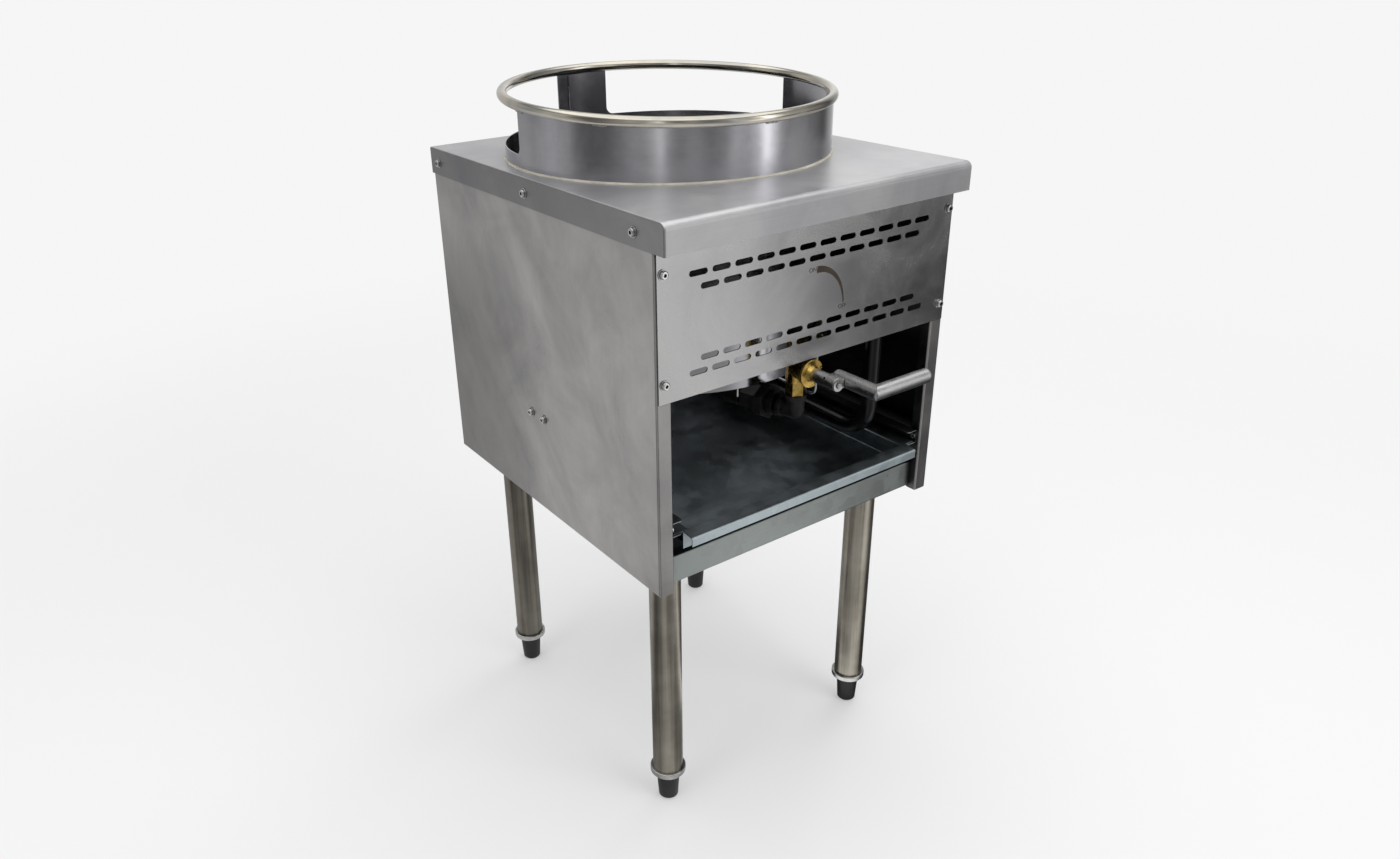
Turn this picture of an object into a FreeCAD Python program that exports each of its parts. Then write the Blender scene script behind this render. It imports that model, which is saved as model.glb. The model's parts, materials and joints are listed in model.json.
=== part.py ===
"""Free-standing gas wok range, in millimetres.

X runs to the right of somebody who faces the range, Y runs to the back and Z up.
The pieces are laid out about the middle of the cabinet, and every solid is then
moved back by cabinet_shift, so that the origin lies on the floor under the
middle of the whole range, from the lever in front to the gas inlet behind.
"""
import FreeCAD, Part
import math
import os

V = FreeCAD.Vector

# ---- cabinet -------------------------------------------------------------------
body_width = 457.0          # outside of the two side panels
body_extra_depth = 67.0     # depth, front flange face to the back of the cover, beyond the width
body_bottom = 388.0         # lowest edge of the side panels above the floor
body_height = 454.0         # lowest edge of the side panels to the top of the cover
sheet = 1.5                 # stainless sheet of the cabinet
bend_inside = 1.0           # inside radius of a fold
flange_width = 21.0         # front and rear flanges of a side panel
return_lip = 15.0           # lip behind the inner edge of the front flange
bottom_flange = 20.0        # fold along the foot of a side panel
top_flange = 13.0           # fold along the top of a side panel
panel_gap = 0.3             # between sheets that slip past each other

# ---- cover -----------------------------------------------------------------------
cover_drop = 35.0           # depth of the cover's sides
cover_overhang = 22.0       # front lip beyond the front flange face
cover_front_radius = 8.5
cover_edge_radius = 2.5
cover_bolt_drop = 19.0
cover_bolt_rear_inset = 26.0
cover_bolt_front_inset = 32.0

# ---- front panel -----------------------------------------------------------------
panel_inset = 2.5           # front and back panels' ends inside the cabinet's sides
panel_rise = 20.0           # front panel's foot above the valve's stem
panel_bolt_inset = 10.5     # bolts inside the cabinet's sides
panel_bolt_drop = 59.3      # upper bolts below the cover's top
panel_bolt_rise = 22.1      # lower bolts above the panel's foot
slot_length = 25.0
slot_height = 7.0
slot_pitch = 31.24
slot_row_drops = (65.4, 81.3)       # upper rows below the cover's top
slot_row_rises = (42.7, 27.0)       # lower rows above the panel's foot
slot_counts = (12, 11, 11, 12)

# ---- back panel ------------------------------------------------------------------
back_panel_rise = 44.0      # back panel's foot above the side panels' foot
back_bolt_inset = 11.5      # bolts inside the cabinet's sides
back_bolt_drop = 52.0       # upper bolts below the cover's top
back_bolt_rise = 232.0      # middle bolts above the side panels' foot

# ---- fire drum and wok ring ------------------------------------------------------
drum_side_gap = 17.0        # drum to the cabinet's sides
drum_rear_gap = 26.5        # drum to the back of the cover
drum_wall = 1.5
drum_rise = 22.0            # drum's foot above the supply pipes
window_sill = 17.5          # rim left above the cover under each window
window_corner = 10.0
right_window_angles = (3.3, 79.0)   # degrees from +X towards the back
left_window_angles = (101.0, 176.0)
seam_angle = 90.0
seam_lap = 6.0              # degrees over which the sheet's ends lap
ring_bar_radius = 6.35
ring_rise = 75.7            # middle of the ring's bar above the cover, on the drum axis
ring_slope = 2.35           # degrees, lower at the front
bead_size = 2.2
bead_flats = 4              # flat bands that round the bead
hole_clearance = 0.05
drum_tab_angle = -102.0     # degrees from +X towards the back
drum_tab_reach = 14.0
drum_tab_width = 16.0
drum_screw_radius = 2.2
drum_screw_length = 15.0
drum_screw_head = 2.5

# ---- lower cross pieces ----------------------------------------------------------
apron_back = 12.0           # apron face behind the front flange face
apron_low = 3.0             # apron foot above the side panels' foot
apron_height = 38.0
apron_flange = 15.0

# ---- drip tray and its rails -----------------------------------------------------
tray_sheet = 1.2
tray_rise = 75.0            # tray's top above the side panels' foot
tray_depth = 23.0
tray_flange = 23.0          # side flange of the tray, inside the rail
tray_flange_gap = 4.5       # flange's edge to the rail's outside
tray_front_back = 7.0       # tray front wall behind the front flange face
tray_front_gap = 1.6        # ends of the front wall and lip to the rails' flanges
tray_rear_gap = 26.0        # tray's back wall to the back of the cover
lip_reach = 18.0
lip_fall = 2.0              # the lip slopes down this far to its front edge
lip_drop = 11.5
tray_play = 0.2             # under the tray's flanges
rail_sheet = 1.2
rail_depth = 17.2           # channel's flanges, which point inwards
rail_height = 19.0
rail_corner = 4.0           # rounded front corners of the channel's flanges
rail_front_back = 5.0       # rail ends behind the front flange face
rail_tab = 14.0             # tab behind that the lowest back bolts hold
rail_screw_back = 4.0       # screw behind the rail's front end
rail_screw_radius = 2.0
rail_screw_head = 3.8
rail_screw_head_height = 2.6
rail_screw_socket = 3.0     # across the socket's flats
rail_screw_socket_deep = 1.4
rail_screw_hole_reach = 4.0
rail_nut_width = 7.0
rail_nut_height = 3.2
rail_screw_end = 1.8        # thread beyond the nut

# ---- legs and feet ---------------------------------------------------------------
leg_side_inset = 55.1       # leg's middle inside the cabinet's side
leg_end_inset = 67.5        # leg's middle from the front flange face and the cover's back
leg_radius = 20.65
leg_wall = 1.5
leg_bottom = 54.0
socket_radius = 24.5
socket_rim = 8.0
socket_depth = 30.0
foot_top_radius = 16.0
foot_tip_radius = 13.5
foot_stud_radius = 6.0
foot_travel = 25.0
foot_engaged = 33.0         # stud left in its socket at full travel
foot_tip_round = 3.0
foot_band = 6.0             # straight band round the foot's top
socket_round = 1.2
leg_rail = 3.0              # plate along each side's foot flange, which carries two legs
leg_rail_lap = 45.4         # leg rail's inner edge beyond the legs' middles
leg_rail_gap = 2.5          # between a leg rail's end and a cross piece
leg_stud_radius = 5.0
leg_stud_disc = 4.0
leg_stud_reach = 12.0       # stud above the leg rail
leg_nut_width = 17.0
leg_nut_height = 8.0

# ---- burner ----------------------------------------------------------------------
bar_below = 22.5            # bar's top below the supply pipes
bar_sheet = 3.0
bar_width = 60.0
bar_drop = 22.0
bar_fore = 14.9             # bar's middle before the drum's axis
bar_bolt_pitch = 32.0
bar_bolt_drop = 10.4        # bolts below the bar's top
bar_bend = 2.0
foot_half_width = 34.0      # foot of the burner casting
foot_half_depth = 27.0
foot_corner = 8.0
casting_flange = 7.0
casting_floor = 3.0         # metal left over the foot under the hub's cavity
casting_bolt_side = 22.0
casting_bolt_fore = 18.0    # casting bolts before the bar's middle
hub_radius = 20.0
boss_reach = 30.0           # inlet boss from the hub's axis
boss_wall = 4.4
head_radius = 70.0
head_rise = 79.5            # burner head's foot above the supply pipes
head_height = 22.0
head_wall = 5.0
head_round = 3.0
neck_radius = 42.0          # hub's cone where it meets the head
neck_height = 16.0
tip_stem_radius = 5.0
tip_nut_width = 13.0
tip_nut = 8.0
tip_base_radius = 6.0
tip_end_radius = 4.0
tip_height = 28.0
tip_bore = 1.6
tip_circle_radii = (0.0, 32.0, 58.0)
tip_counts = (1, 4, 8)

# ---- gas pipes -------------------------------------------------------------------
pipe_radius = 10.65         # half-inch pipe, from the inlet to the valve
pipe_bore = 7.9
supply_radius = 8.55        # three-eighths pipe, from the valve to the burner
supply_bore = 6.3
socket_gap = 0.05
fitting_wall = 2.9          # elbow's wall round its pipe
fitting_band_wall = 2.2
fitting_band = 7.0
fitting_arm = 22.0          # fitting centre to the end of its socket
fitting_socket = 10.0
fitting_round = 2.0
band_round = 1.0
pilot_tap_radius = 2.0
supply_drop = 56.5          # pipes from the valve to the burner, below the valve's stem
supply_turn = 13.0          # degrees by which they run to the left of straight back
manifold_rise = 63.0        # manifold pipe above the valve's stem
riser_inset = 96.5          # gas pipe inside the cabinet's right side
riser_rise = 101.0          # gas pipe under the burner above the side panels' foot
riser_bend = 42.0
inlet_reach = 38.0          # inlet nipple beyond the back of the cabinet
inlet_radius = 13.35        # three-quarter pipe
inlet_bore = 10.4
inlet_length = 62.0
inlet_thread = 0.25         # thread inside the coupling below the pipe's outside
inlet_hole_gap = 1.5
reducer_radius = 18.5
reducer_length = 32.0
union_start = 27.0          # union from the elbow's centre
union_head = 14.0
union_head_radius = 15.0
union_nut_width = 41.0
union_nut = 11.0
union_nut_lap = 3.0         # nut over the head
union_nut_end = 5.0         # end wall of the nut
union_nut_corner = 23.6     # radius of the sphere that rounds the nut's corners
union_neck = 3.0            # round neck between the nut and the tail's flats
union_tail_radius = 12.5
union_tail_width = 32.0
union_length = 47.0
coupling_start = 78.0
coupling_length = 28.0
coupling_radius = 16.0

# ---- gas valve -------------------------------------------------------------------
valve_inset = 26.0          # valve's upright axis behind the front flange face
valve_rise = 229.0          # stem's axis above the side panels' foot
valve_body_radius = 13.0
valve_hex = 22.5
valve_hex_height = 17.0
valve_hex_turn = 30.0
valve_boss_radius = 13.5
stop_flange_radius = 17.0
stop_flange = 4.0
plug_radius = 9.0
plug_length = 20.0
plug_end_gap = 0.1
plug_passage = 5.5
stem_radius = 4.5
running_gap = 0.05
disc_radius = 17.8
disc_thick = 3.0
disc_round = 0.8
disc_stand = 1.5            # front of the stop disc before the front flange face
disc_play = 0.2
disc_hub_radius = 11.0
disc_hub = 4.5
stop_pin_radius = 0.9
stop_pin_out = 14.3
stop_pin_angle = 21.5
stop_pin_stand = 1.0        # pin beyond the disc, and set into the flange
stop_notch_angle = 0.4      # degrees left beside the pin at each stop
lever_turn = 90.0

# ---- lever -----------------------------------------------------------------------
sleeve_radius = 8.5
sleeve_length = 39.0
sleeve_round = 0.6
stem_short = 4.0            # stem's end inside the sleeve
end_stud_radius = 2.5
end_stud_reach = 4.2        # stud beyond the sleeve
end_washer_radius = 7.9
end_washer_thick = 1.2
end_nut_width = 7.0
end_nut_height = 2.4
set_screw_radius = 1.6
set_screw_back = 16.4       # set screw behind the sleeve's front end
rod_radius = 9.2
rod_lap = 22.0              # rod beside the sleeve
arm_stand = 88.0            # arm's axis before the front flange face
arm_end = 104.0
rod_end_round = 4.5
rod_corner_round = 5.0      # outer corner of rod and arm, seen from above
mitre_angle = 45.0
weld_half = 4.5
weld_short = 2.0            # weld's ends inside the lap of rod and sleeve

# ---- pilot -----------------------------------------------------------------------
pilot_side = 33.0
pilot_valve_radius = 6.5
pilot_valve_length = 30.0
pilot_saddle = 20.0         # half length of the curve that fits the pipe
pilot_saddle_rise = 3.0
pilot_way_radius = 1.2
pilot_nut = 6.0
pilot_nut_width = 11.0
pilot_nut_lap = 2.0
pilot_boss = 10.0
pilot_boss_wall = 2.0
pilot_boss_drop = 14.0
pilot_tube_radius = 2.0
pilot_tube_wall = 0.6
pilot_bend = 9.0
pilot_run_drop = 45.5       # tube's level run below the valve's stem
pilot_screw_radius = 2.5
pilot_screw_play = 0.3
pilot_screw_short = 2.0     # screw's end before the valve's middle
pilot_screw_head = 2.5
pilot_screw_head_radius = 4.0
pilot_slot_half = 0.5
pilot_slot_deep = 1.3
pilot_tip_rise = 54.0       # pilot nozzle's tip above the burner head's foot
pilot_nozzle_radius = 5.5
pilot_nozzle_length = 20.0
pilot_stand_off = 12.0      # pilot nozzle before the burner head's rim
pilot_tube_lap = 6.0        # tube inside the nozzle
pilot_clip = 2.0
pilot_clip_half = 6.0
pilot_clip_lap = 8.0        # clip over the burner head

# ---- fasteners -------------------------------------------------------------------
bolt_radius = 2.9
bolt_hole_gap = 0.2
hole_reach = 12.0           # cutter of a hole, each way from its seat
washer_radius = 6.3
washer_thick = 1.0
washer_round = 0.3
bolt_head_radius = 4.9
bolt_head_height = 3.4
bolt_head_round = 1.6
bolt_socket = 4.0           # across the socket's flats
bolt_socket_deep = 2.0
nut_width = 10.0
nut_height = 5.0
thread_end = 1.5            # thread beyond a nut

# ---- modelling -------------------------------------------------------------------
past = 1.0                  # cutters run this far past what they cut
tiny = 1e-6

# ---- worked out from the sizes above ---------------------------------------------
half_width = body_width / 2
half_depth = (body_width + body_extra_depth) / 2
top_height = body_bottom + body_height
under_cover = top_height - sheet
cover_half = half_width + panel_gap + sheet
rear_flange_face = half_depth - sheet - panel_gap - sheet
valve_height = body_bottom + valve_rise
valve_fore = half_depth - valve_inset
supply_height = valve_height - supply_drop
manifold_height = valve_height + manifold_rise
riser_side = half_width - riser_inset
riser_height_low = body_bottom + riser_rise
panel_half = half_width - panel_inset
panel_bottom = valve_height + panel_rise
drum_radius = half_width - drum_side_gap
drum_back = half_depth - drum_rear_gap - drum_radius
drum_bottom = supply_height + drum_rise
ring_height = top_height + ring_rise
bar_top = supply_height - bar_below
bar_back = drum_back - bar_fore
head_bottom = supply_height + head_rise
pilot_run_height = valve_height - pilot_run_drop
pilot_tip_height = head_bottom + pilot_tip_rise
leg_side = half_width - leg_side_inset
leg_fore = half_depth - leg_end_inset
tray_top = body_bottom + tray_rise
ledge_top = tray_top - tray_sheet - tray_play
rail_low = ledge_top - rail_sheet
rail_middle = rail_low + rail_height / 2
rail_front = -half_depth + rail_front_back
lip_side = half_width - flange_width
tray_wall_side = lip_side - tray_flange_gap - tray_flange
tray_front_side = lip_side - rail_depth - tray_front_gap
tray_front = -half_depth + tray_front_back
disc_face_fore = half_depth + disc_stand
disc_back_fore = disc_face_fore - disc_thick
sleeve_front = disc_face_fore + disc_hub + sleeve_length
pilot_valve_top = manifold_height - pipe_radius
foot_stud_length = foot_travel + foot_engaged
arm_fore = half_depth + arm_stand
arm_front = arm_fore + rod_radius
cabinet_shift = (arm_front - (half_depth + inlet_reach)) / 2

OUT = "parts"
os.makedirs(OUT, exist_ok=True)


# ---- small tools -----------------------------------------------------------------
def save(name, shape):
    """Move a finished piece into the range's frame and write it."""
    moved = shape.copy()
    moved.translate(V(0, cabinet_shift, 0))
    for solid in moved.Solids:
        if not solid.isValid():
            print("not valid:", name)
    moved.exportStep(os.path.join(OUT, name + ".step"))
    box = moved.BoundBox
    print("%-22s %3d solid(s)  x %7.1f %7.1f  y %7.1f %7.1f  z %7.1f %7.1f" % (
        name, len(moved.Solids), box.XMin, box.XMax, box.YMin, box.YMax, box.ZMin, box.ZMax))


def box(x0, x1, y0, y1, z0, z1):
    """A block between two corners."""
    return Part.makeBox(x1 - x0, y1 - y0, z1 - z0, V(x0, y0, z0))


def rod(radius, start, direction, length):
    """A round bar from a point along a direction."""
    return Part.makeCylinder(radius, length, V(*start), V(*direction))


def joined(shapes):
    """One solid from pieces that overlap or share faces."""
    first = shapes[0]
    return first.fuse(shapes[1:]).removeSplitter() if len(shapes) > 1 else first


def mirrored(shape):
    """The same piece on the other side of the range."""
    return shape.mirror(V(0, 0, 0), V(1, 0, 0))


def outline(points, radii):
    """A closed wire through flat points, each corner rounded by its radius."""
    count = len(points)
    edges = []
    last_end = None
    first_start = None
    for i in range(count):
        here = points[i]
        back = (points[i - 1] - here).normalize()
        ahead = (points[(i + 1) % count] - here).normalize()
        if radii[i] > 0:
            half = back.getAngle(ahead) / 2
            reach = radii[i] / math.tan(half)
            middle = (back + ahead).normalize()
            centre = here + middle * (radii[i] / math.sin(half))
            start = here + back * reach
            end = here + ahead * reach
            arc = Part.Arc(start, centre - middle * radii[i], end).toShape()
        else:
            start = end = here
            arc = None
        if last_end is None:
            first_start = start
        elif last_end.distanceToPoint(start) > tiny:
            edges.append(Part.makeLine(last_end, start))
        if arc:
            edges.append(arc)
        last_end = end
    edges.append(Part.makeLine(last_end, first_start))
    return Part.Wire(edges)


def place(point, plane, level):
    """Put a flat point on the plane xy, yz or xz at a level."""
    a, b = point
    if plane == "xy":
        return V(a, b, level)
    if plane == "yz":
        return V(level, a, b)
    return V(a, level, b)


def pulled(points, radii, plane, start, end):
    """A rounded flat outline pulled from one level to another."""
    flat = [place(p, plane, start) for p in points]
    face = Part.Face(outline(flat, radii))
    push = {"xy": V(0, 0, 1), "yz": V(1, 0, 0), "xz": V(0, 1, 0)}[plane]
    return face.extrude(push * (end - start))


def folded_sheet(path, thickness, plane, start, end, inside=bend_inside):
    """A folded sheet: its face follows the path and its metal lies to the right."""
    def heading(a, b):
        length = math.hypot(b[0] - a[0], b[1] - a[1])
        return ((b[0] - a[0]) / length, (b[1] - a[1]) / length)

    far = []
    near_radii = []
    far_radii = []
    last = len(path) - 1
    for i, point in enumerate(path):
        into = heading(path[i - 1], point) if i > 0 else heading(point, path[i + 1])
        out = heading(point, path[i + 1]) if i < last else into
        right_in = (into[1], -into[0])
        right_out = (out[1], -out[0])
        mix = 1 + right_in[0] * right_out[0] + right_in[1] * right_out[1]
        far.append((point[0] + thickness * (right_in[0] + right_out[0]) / mix,
                    point[1] + thickness * (right_in[1] + right_out[1]) / mix))
        turn = into[0] * out[1] - into[1] * out[0]
        if abs(turn) < tiny:
            near_radii.append(0.0)
            far_radii.append(0.0)
        elif turn < 0:
            near_radii.append(inside + thickness)
            far_radii.append(inside)
        else:
            near_radii.append(inside)
            far_radii.append(inside + thickness)
    points = list(path) + far[::-1]
    radii = near_radii + far_radii[::-1]
    return pulled(points, radii, plane, start, end)


def hexagon(width, start, direction, length, turn=0.0):
    """A hexagon bar, width across its flats."""
    corner = width / math.sqrt(3)
    points = [V(corner * math.cos(math.radians(60 * i + turn)),
                corner * math.sin(math.radians(60 * i + turn)), 0) for i in range(7)]
    bar = Part.Face(Part.makePolygon(points)).extrude(V(0, 0, length))
    bar.Placement = FreeCAD.Placement(V(*start), FreeCAD.Rotation(V(0, 0, 1), V(*direction)))
    return bar


def bent_line(points, radius):
    """Straight runs joined by arcs, as one wire."""
    corners = [V(*p) for p in points]
    edges = []
    start = corners[0]
    for i in range(1, len(corners) - 1):
        back = (corners[i - 1] - corners[i]).normalize()
        ahead = (corners[i + 1] - corners[i]).normalize()
        half = back.getAngle(ahead) / 2
        reach = radius / math.tan(half)
        middle = (back + ahead).normalize()
        centre = corners[i] + middle * (radius / math.sin(half))
        arc_start = corners[i] + back * reach
        arc_end = corners[i] + ahead * reach
        edges.append(Part.makeLine(start, arc_start))
        edges.append(Part.Arc(arc_start, centre - middle * radius, arc_end).toShape())
        start = arc_end
    edges.append(Part.makeLine(start, corners[-1]))
    return Part.Wire(edges)


def bent_bar(points, radius, bend):
    """A round bar along straight runs and arcs."""
    line = bent_line(points, bend)
    start = V(*points[0])
    along = (V(*points[1]) - start).normalize()
    ring = Part.Wire([Part.makeCircle(radius, start, along)])
    return line.makePipeShell([ring], True, False)


def bent_pipe(points, outer, bore, bend):
    """A pipe with its bore along straight runs and arcs."""
    return bent_bar(points, outer, bend).cut(bent_bar(points, bore, bend))


def bolt(seat, direction, grip):
    """Washer, domed head with a hexagon socket, shank and nut; direction points out."""
    out = V(*direction)
    base = V(*seat)
    washer = Part.makeCylinder(washer_radius, washer_thick, base, out)
    washer = washer.makeFillet(washer_round, [washer.Edges[0]])
    head_base = base + out * washer_thick
    dome = Part.makeCylinder(bolt_head_radius, bolt_head_height, head_base, out)
    rim = [e for e in dome.Edges if len(e.Vertexes) == 1
           and abs((e.CenterOfMass - head_base).dot(out) - bolt_head_height) < tiny]
    dome = dome.makeFillet(bolt_head_round, rim)
    recess_start = head_base + out * (bolt_head_height - bolt_socket_deep)
    recess = hexagon(bolt_socket, tuple(recess_start), direction, bolt_socket_deep + past)
    reach = grip + nut_height + thread_end
    shank = Part.makeCylinder(bolt_radius, reach + washer_thick, base - out * reach, out)
    nut = hexagon(nut_width, tuple(base - out * (grip + nut_height)), direction, nut_height)
    return joined([washer, dome.cut(recess), shank, nut])


def hole(seat, direction, radius=bolt_radius + bolt_hole_gap, depth=hole_reach):
    """A cutter for a bolt hole, running both ways from its seat."""
    out = V(*direction)
    return Part.makeCylinder(radius, 2 * depth, V(*seat) - out * depth, out)


def elbow(centre, first, second, pipe, bore):
    """A malleable iron elbow with a banded socket on each arm."""
    middle = V(*centre)
    body = pipe + fitting_wall
    solids = [Part.makeSphere(body, middle)]
    cuts = [Part.makeSphere(bore, middle)]
    for direction in (first, second):
        arm = V(*direction)
        solids.append(Part.makeCylinder(body, fitting_arm, middle, arm))
        band_start = middle + arm * (fitting_arm - fitting_band)
        band = Part.makeCylinder(body + fitting_band_wall, fitting_band, band_start, arm)
        solids.append(band.makeFillet(band_round, [band.Edges[0], band.Edges[2]]))
        cuts.append(Part.makeCylinder(bore, fitting_arm + past, middle, arm))
        mouth = middle + arm * (fitting_arm - fitting_socket)
        cuts.append(Part.makeCylinder(pipe + socket_gap, fitting_socket + past, mouth, arm))
    return joined(solids).cut(joined(cuts))


def straight_pipe(start, direction, length, outer=pipe_radius, bore=pipe_bore):
    """A straight piece of pipe."""
    return rod(outer, start, direction, length).cut(rod(bore, start, direction, length))


# ---- bolt places -----------------------------------------------------------------
def cover_bolt_seats():
    """Seats of the cover's side bolts, each with the direction it faces."""
    height = top_height - cover_bolt_drop
    places = (half_depth - cover_bolt_rear_inset, 0.0, -half_depth + cover_bolt_front_inset)
    return [((side * cover_half, y, height), (side, 0, 0)) for side in (-1, 1) for y in places]


def bar_bolt_seats():
    """Seats of the bolts that hold the burner bar, on the outside of the side panels."""
    places = (bar_back - bar_bolt_pitch / 2, bar_back + bar_bolt_pitch / 2)
    height = bar_top - bar_bolt_drop
    return [((side * half_width, y, height), (side, 0, 0)) for side in (-1, 1) for y in places]


def front_bolt_seats():
    """Seats of the front panel's four bolts."""
    face = -half_depth - sheet
    out = half_width - panel_bolt_inset
    heights = (top_height - panel_bolt_drop, panel_bottom + panel_bolt_rise)
    return [((side * out, face, z), (0, -1, 0)) for side in (-1, 1) for z in heights]


def back_bolt_seats():
    """Seats of the back panel's bolts; the lowest pair also holds the rails' tabs."""
    face = rear_flange_face + sheet
    out = half_width - back_bolt_inset
    heights = (top_height - back_bolt_drop, body_bottom + back_bolt_rise, rail_middle)
    return [((side * out, face, z), (0, 1, 0)) for side in (-1, 1) for z in heights]


def rail_screw_seats():
    """Seats of the screws that hold the rails to the return lips, inside the channels."""
    side = lip_side - rail_sheet
    return [((s * side, rail_front + rail_screw_back, rail_middle), (-s, 0, 0)) for s in (-1, 1)]


def leg_places():
    """Name and middle of each leg."""
    return [("front_left", -leg_side, -leg_fore), ("front_right", leg_side, -leg_fore),
            ("rear_left", -leg_side, leg_fore), ("rear_right", leg_side, leg_fore)]


# ---- cabinet pieces --------------------------------------------------------------
def side_panel():
    """Left side panel: wall, front flange with its return lip, rear, foot and top flanges."""
    inner = -half_width + flange_width
    path = [(inner, -half_depth + return_lip), (inner, -half_depth), (-half_width, -half_depth),
            (-half_width, rear_flange_face), (inner, rear_flange_face)]
    wall = folded_sheet(path, sheet, "xy", body_bottom, under_cover)
    front = -half_depth + sheet / 2
    rear = rear_flange_face - sheet / 2
    foot = box(-half_width + sheet / 2, -half_width + bottom_flange, front, rear,
               body_bottom, body_bottom + sheet)
    top = box(-half_width + sheet / 2, -half_width + top_flange, front, rear,
              under_cover - sheet, under_cover)
    panel = joined([wall, foot, top])
    cutters = [fold_corner(body_bottom, 1), fold_corner(under_cover, -1)]
    cutters += [hole(s, d) for s, d in cover_bolt_seats() + bar_bolt_seats() if d[0] < 0]
    cutters += [hole(s, d) for s, d in front_bolt_seats() + back_bolt_seats() if s[0] < 0]
    cutters += rail_screw_holes(-1)
    return panel.cut(gathered(cutters))


def fold_corner(level, inwards):
    """What a fold's outside radius leaves off along the foot or top of the left side."""
    radius = bend_inside + sheet
    middle = level + inwards * radius
    start = -half_depth - past
    span = rear_flange_face + past - start
    low, high = sorted((level, middle))
    block = box(-half_width - past, -half_width + radius, start, start + span, low - past * (inwards > 0),
                high + past * (inwards < 0))
    return block.cut(rod(radius, (-half_width + radius, start - past, middle), (0, 1, 0), span + 2 * past))


def rail_screw_holes(side):
    """Cutters for the rail screw on one side."""
    return [hole(s, d, rail_screw_radius + bolt_hole_gap, rail_screw_hole_reach)
            for s, d in rail_screw_seats() if s[0] * side > 0]


def gathered(pieces):
    """Loose pieces as one compound."""
    return Part.makeCompound(pieces)


def back_panel():
    """Flat back panel on the rear flanges, with the hole for the gas inlet."""
    face = rear_flange_face
    panel = box(-panel_half, panel_half, face, face + sheet, body_bottom + back_panel_rise,
                under_cover - panel_gap)
    cutters = [hole(s, d) for s, d in back_bolt_seats()]
    cutters.append(hole((riser_side, face, riser_height_low), (0, 1, 0), inlet_radius + inlet_hole_gap))
    return panel.cut(gathered(cutters))


def front_panel():
    """Front panel with four rows of round-ended slots."""
    face = -half_depth
    panel = box(-panel_half, panel_half, face - sheet, face, panel_bottom, under_cover - panel_gap)
    cutters = [hole(s, d) for s, d in front_bolt_seats()]
    heights = [top_height - drop for drop in slot_row_drops]
    heights += [panel_bottom + rise for rise in slot_row_rises]
    for height, count in zip(heights, slot_counts):
        for i in range(count):
            middle = (i - (count - 1) / 2) * slot_pitch
            cutters.append(slot_cutter(middle, height, face))
    return panel.cut(gathered(cutters))


def slot_cutter(x, z, face):
    """One round-ended slot through a sheet whose back lies on face."""
    reach = slot_length / 2 - slot_height / 2
    depth = 3 * sheet
    core = box(x - reach, x + reach, face - 2 * sheet, face - 2 * sheet + depth,
               z - slot_height / 2, z + slot_height / 2)
    ends = [rod(slot_height / 2, (x + s * reach, face - 2 * sheet, z), (0, 1, 0), depth) for s in (-1, 1)]
    return joined([core] + ends)


def top_cover():
    """Cover: a top with a rounded front lip, side and rear flanges, and the drum's hole."""
    front = -half_depth - cover_overhang
    rear = half_depth
    low = top_height - cover_drop

    def shell(inset, base):
        points = [(front + inset, base), (front + inset, top_height - inset),
                  (rear - inset, top_height - inset), (rear - inset, base)]
        radii = [0.0, cover_front_radius - inset, cover_edge_radius - inset, 0.0]
        block = pulled(points, radii, "yz", -cover_half + inset, cover_half - inset)
        edges = [e for e in block.Edges if is_top_side_edge(e, cover_half - inset)]
        return block.makeFillet(cover_edge_radius - inset, edges)

    cover = shell(0.0, low).cut(shell(sheet, low - past))
    drum = rod(drum_radius + hole_clearance, (0, drum_back, low), (0, 0, 1), cover_drop + past)
    return cover.cut(gathered([drum] + [hole(s, d) for s, d in cover_bolt_seats()]))


def is_top_side_edge(edge, side):
    """True on the edges that run round the cover's side outline above its foot."""
    bounds = edge.BoundBox
    on_side = abs(abs(bounds.XMin) - side) < tiny and bounds.XLength < tiny
    return on_side and bounds.ZMax > top_height - cover_drop / 2


def apron():
    """Front apron: a channel between the two return lips."""
    low = body_bottom + apron_low
    high = low + apron_height
    face = -half_depth + apron_back
    path = [(face + apron_flange, low), (face, low), (face, high), (face + apron_flange, high)]
    half = half_width - flange_width
    return folded_sheet(path, sheet, "yz", -half, half)


def rear_member():
    """Rear cross member: the same channel, inside the rear flanges."""
    low = body_bottom + apron_low
    high = low + apron_height
    face = rear_flange_face - sheet
    path = [(face - apron_flange, high), (face, high), (face, low), (face - apron_flange, low)]
    half = half_width - sheet - bend_inside
    return folded_sheet(path, sheet, "yz", -half, half)


# ---- drum, ring, bead ------------------------------------------------------------
def ring_plane_normal():
    """Normal of the ring's plane, which slopes down to the front."""
    slope = math.radians(ring_slope)
    return V(0, -math.sin(slope), math.cos(slope))


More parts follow.
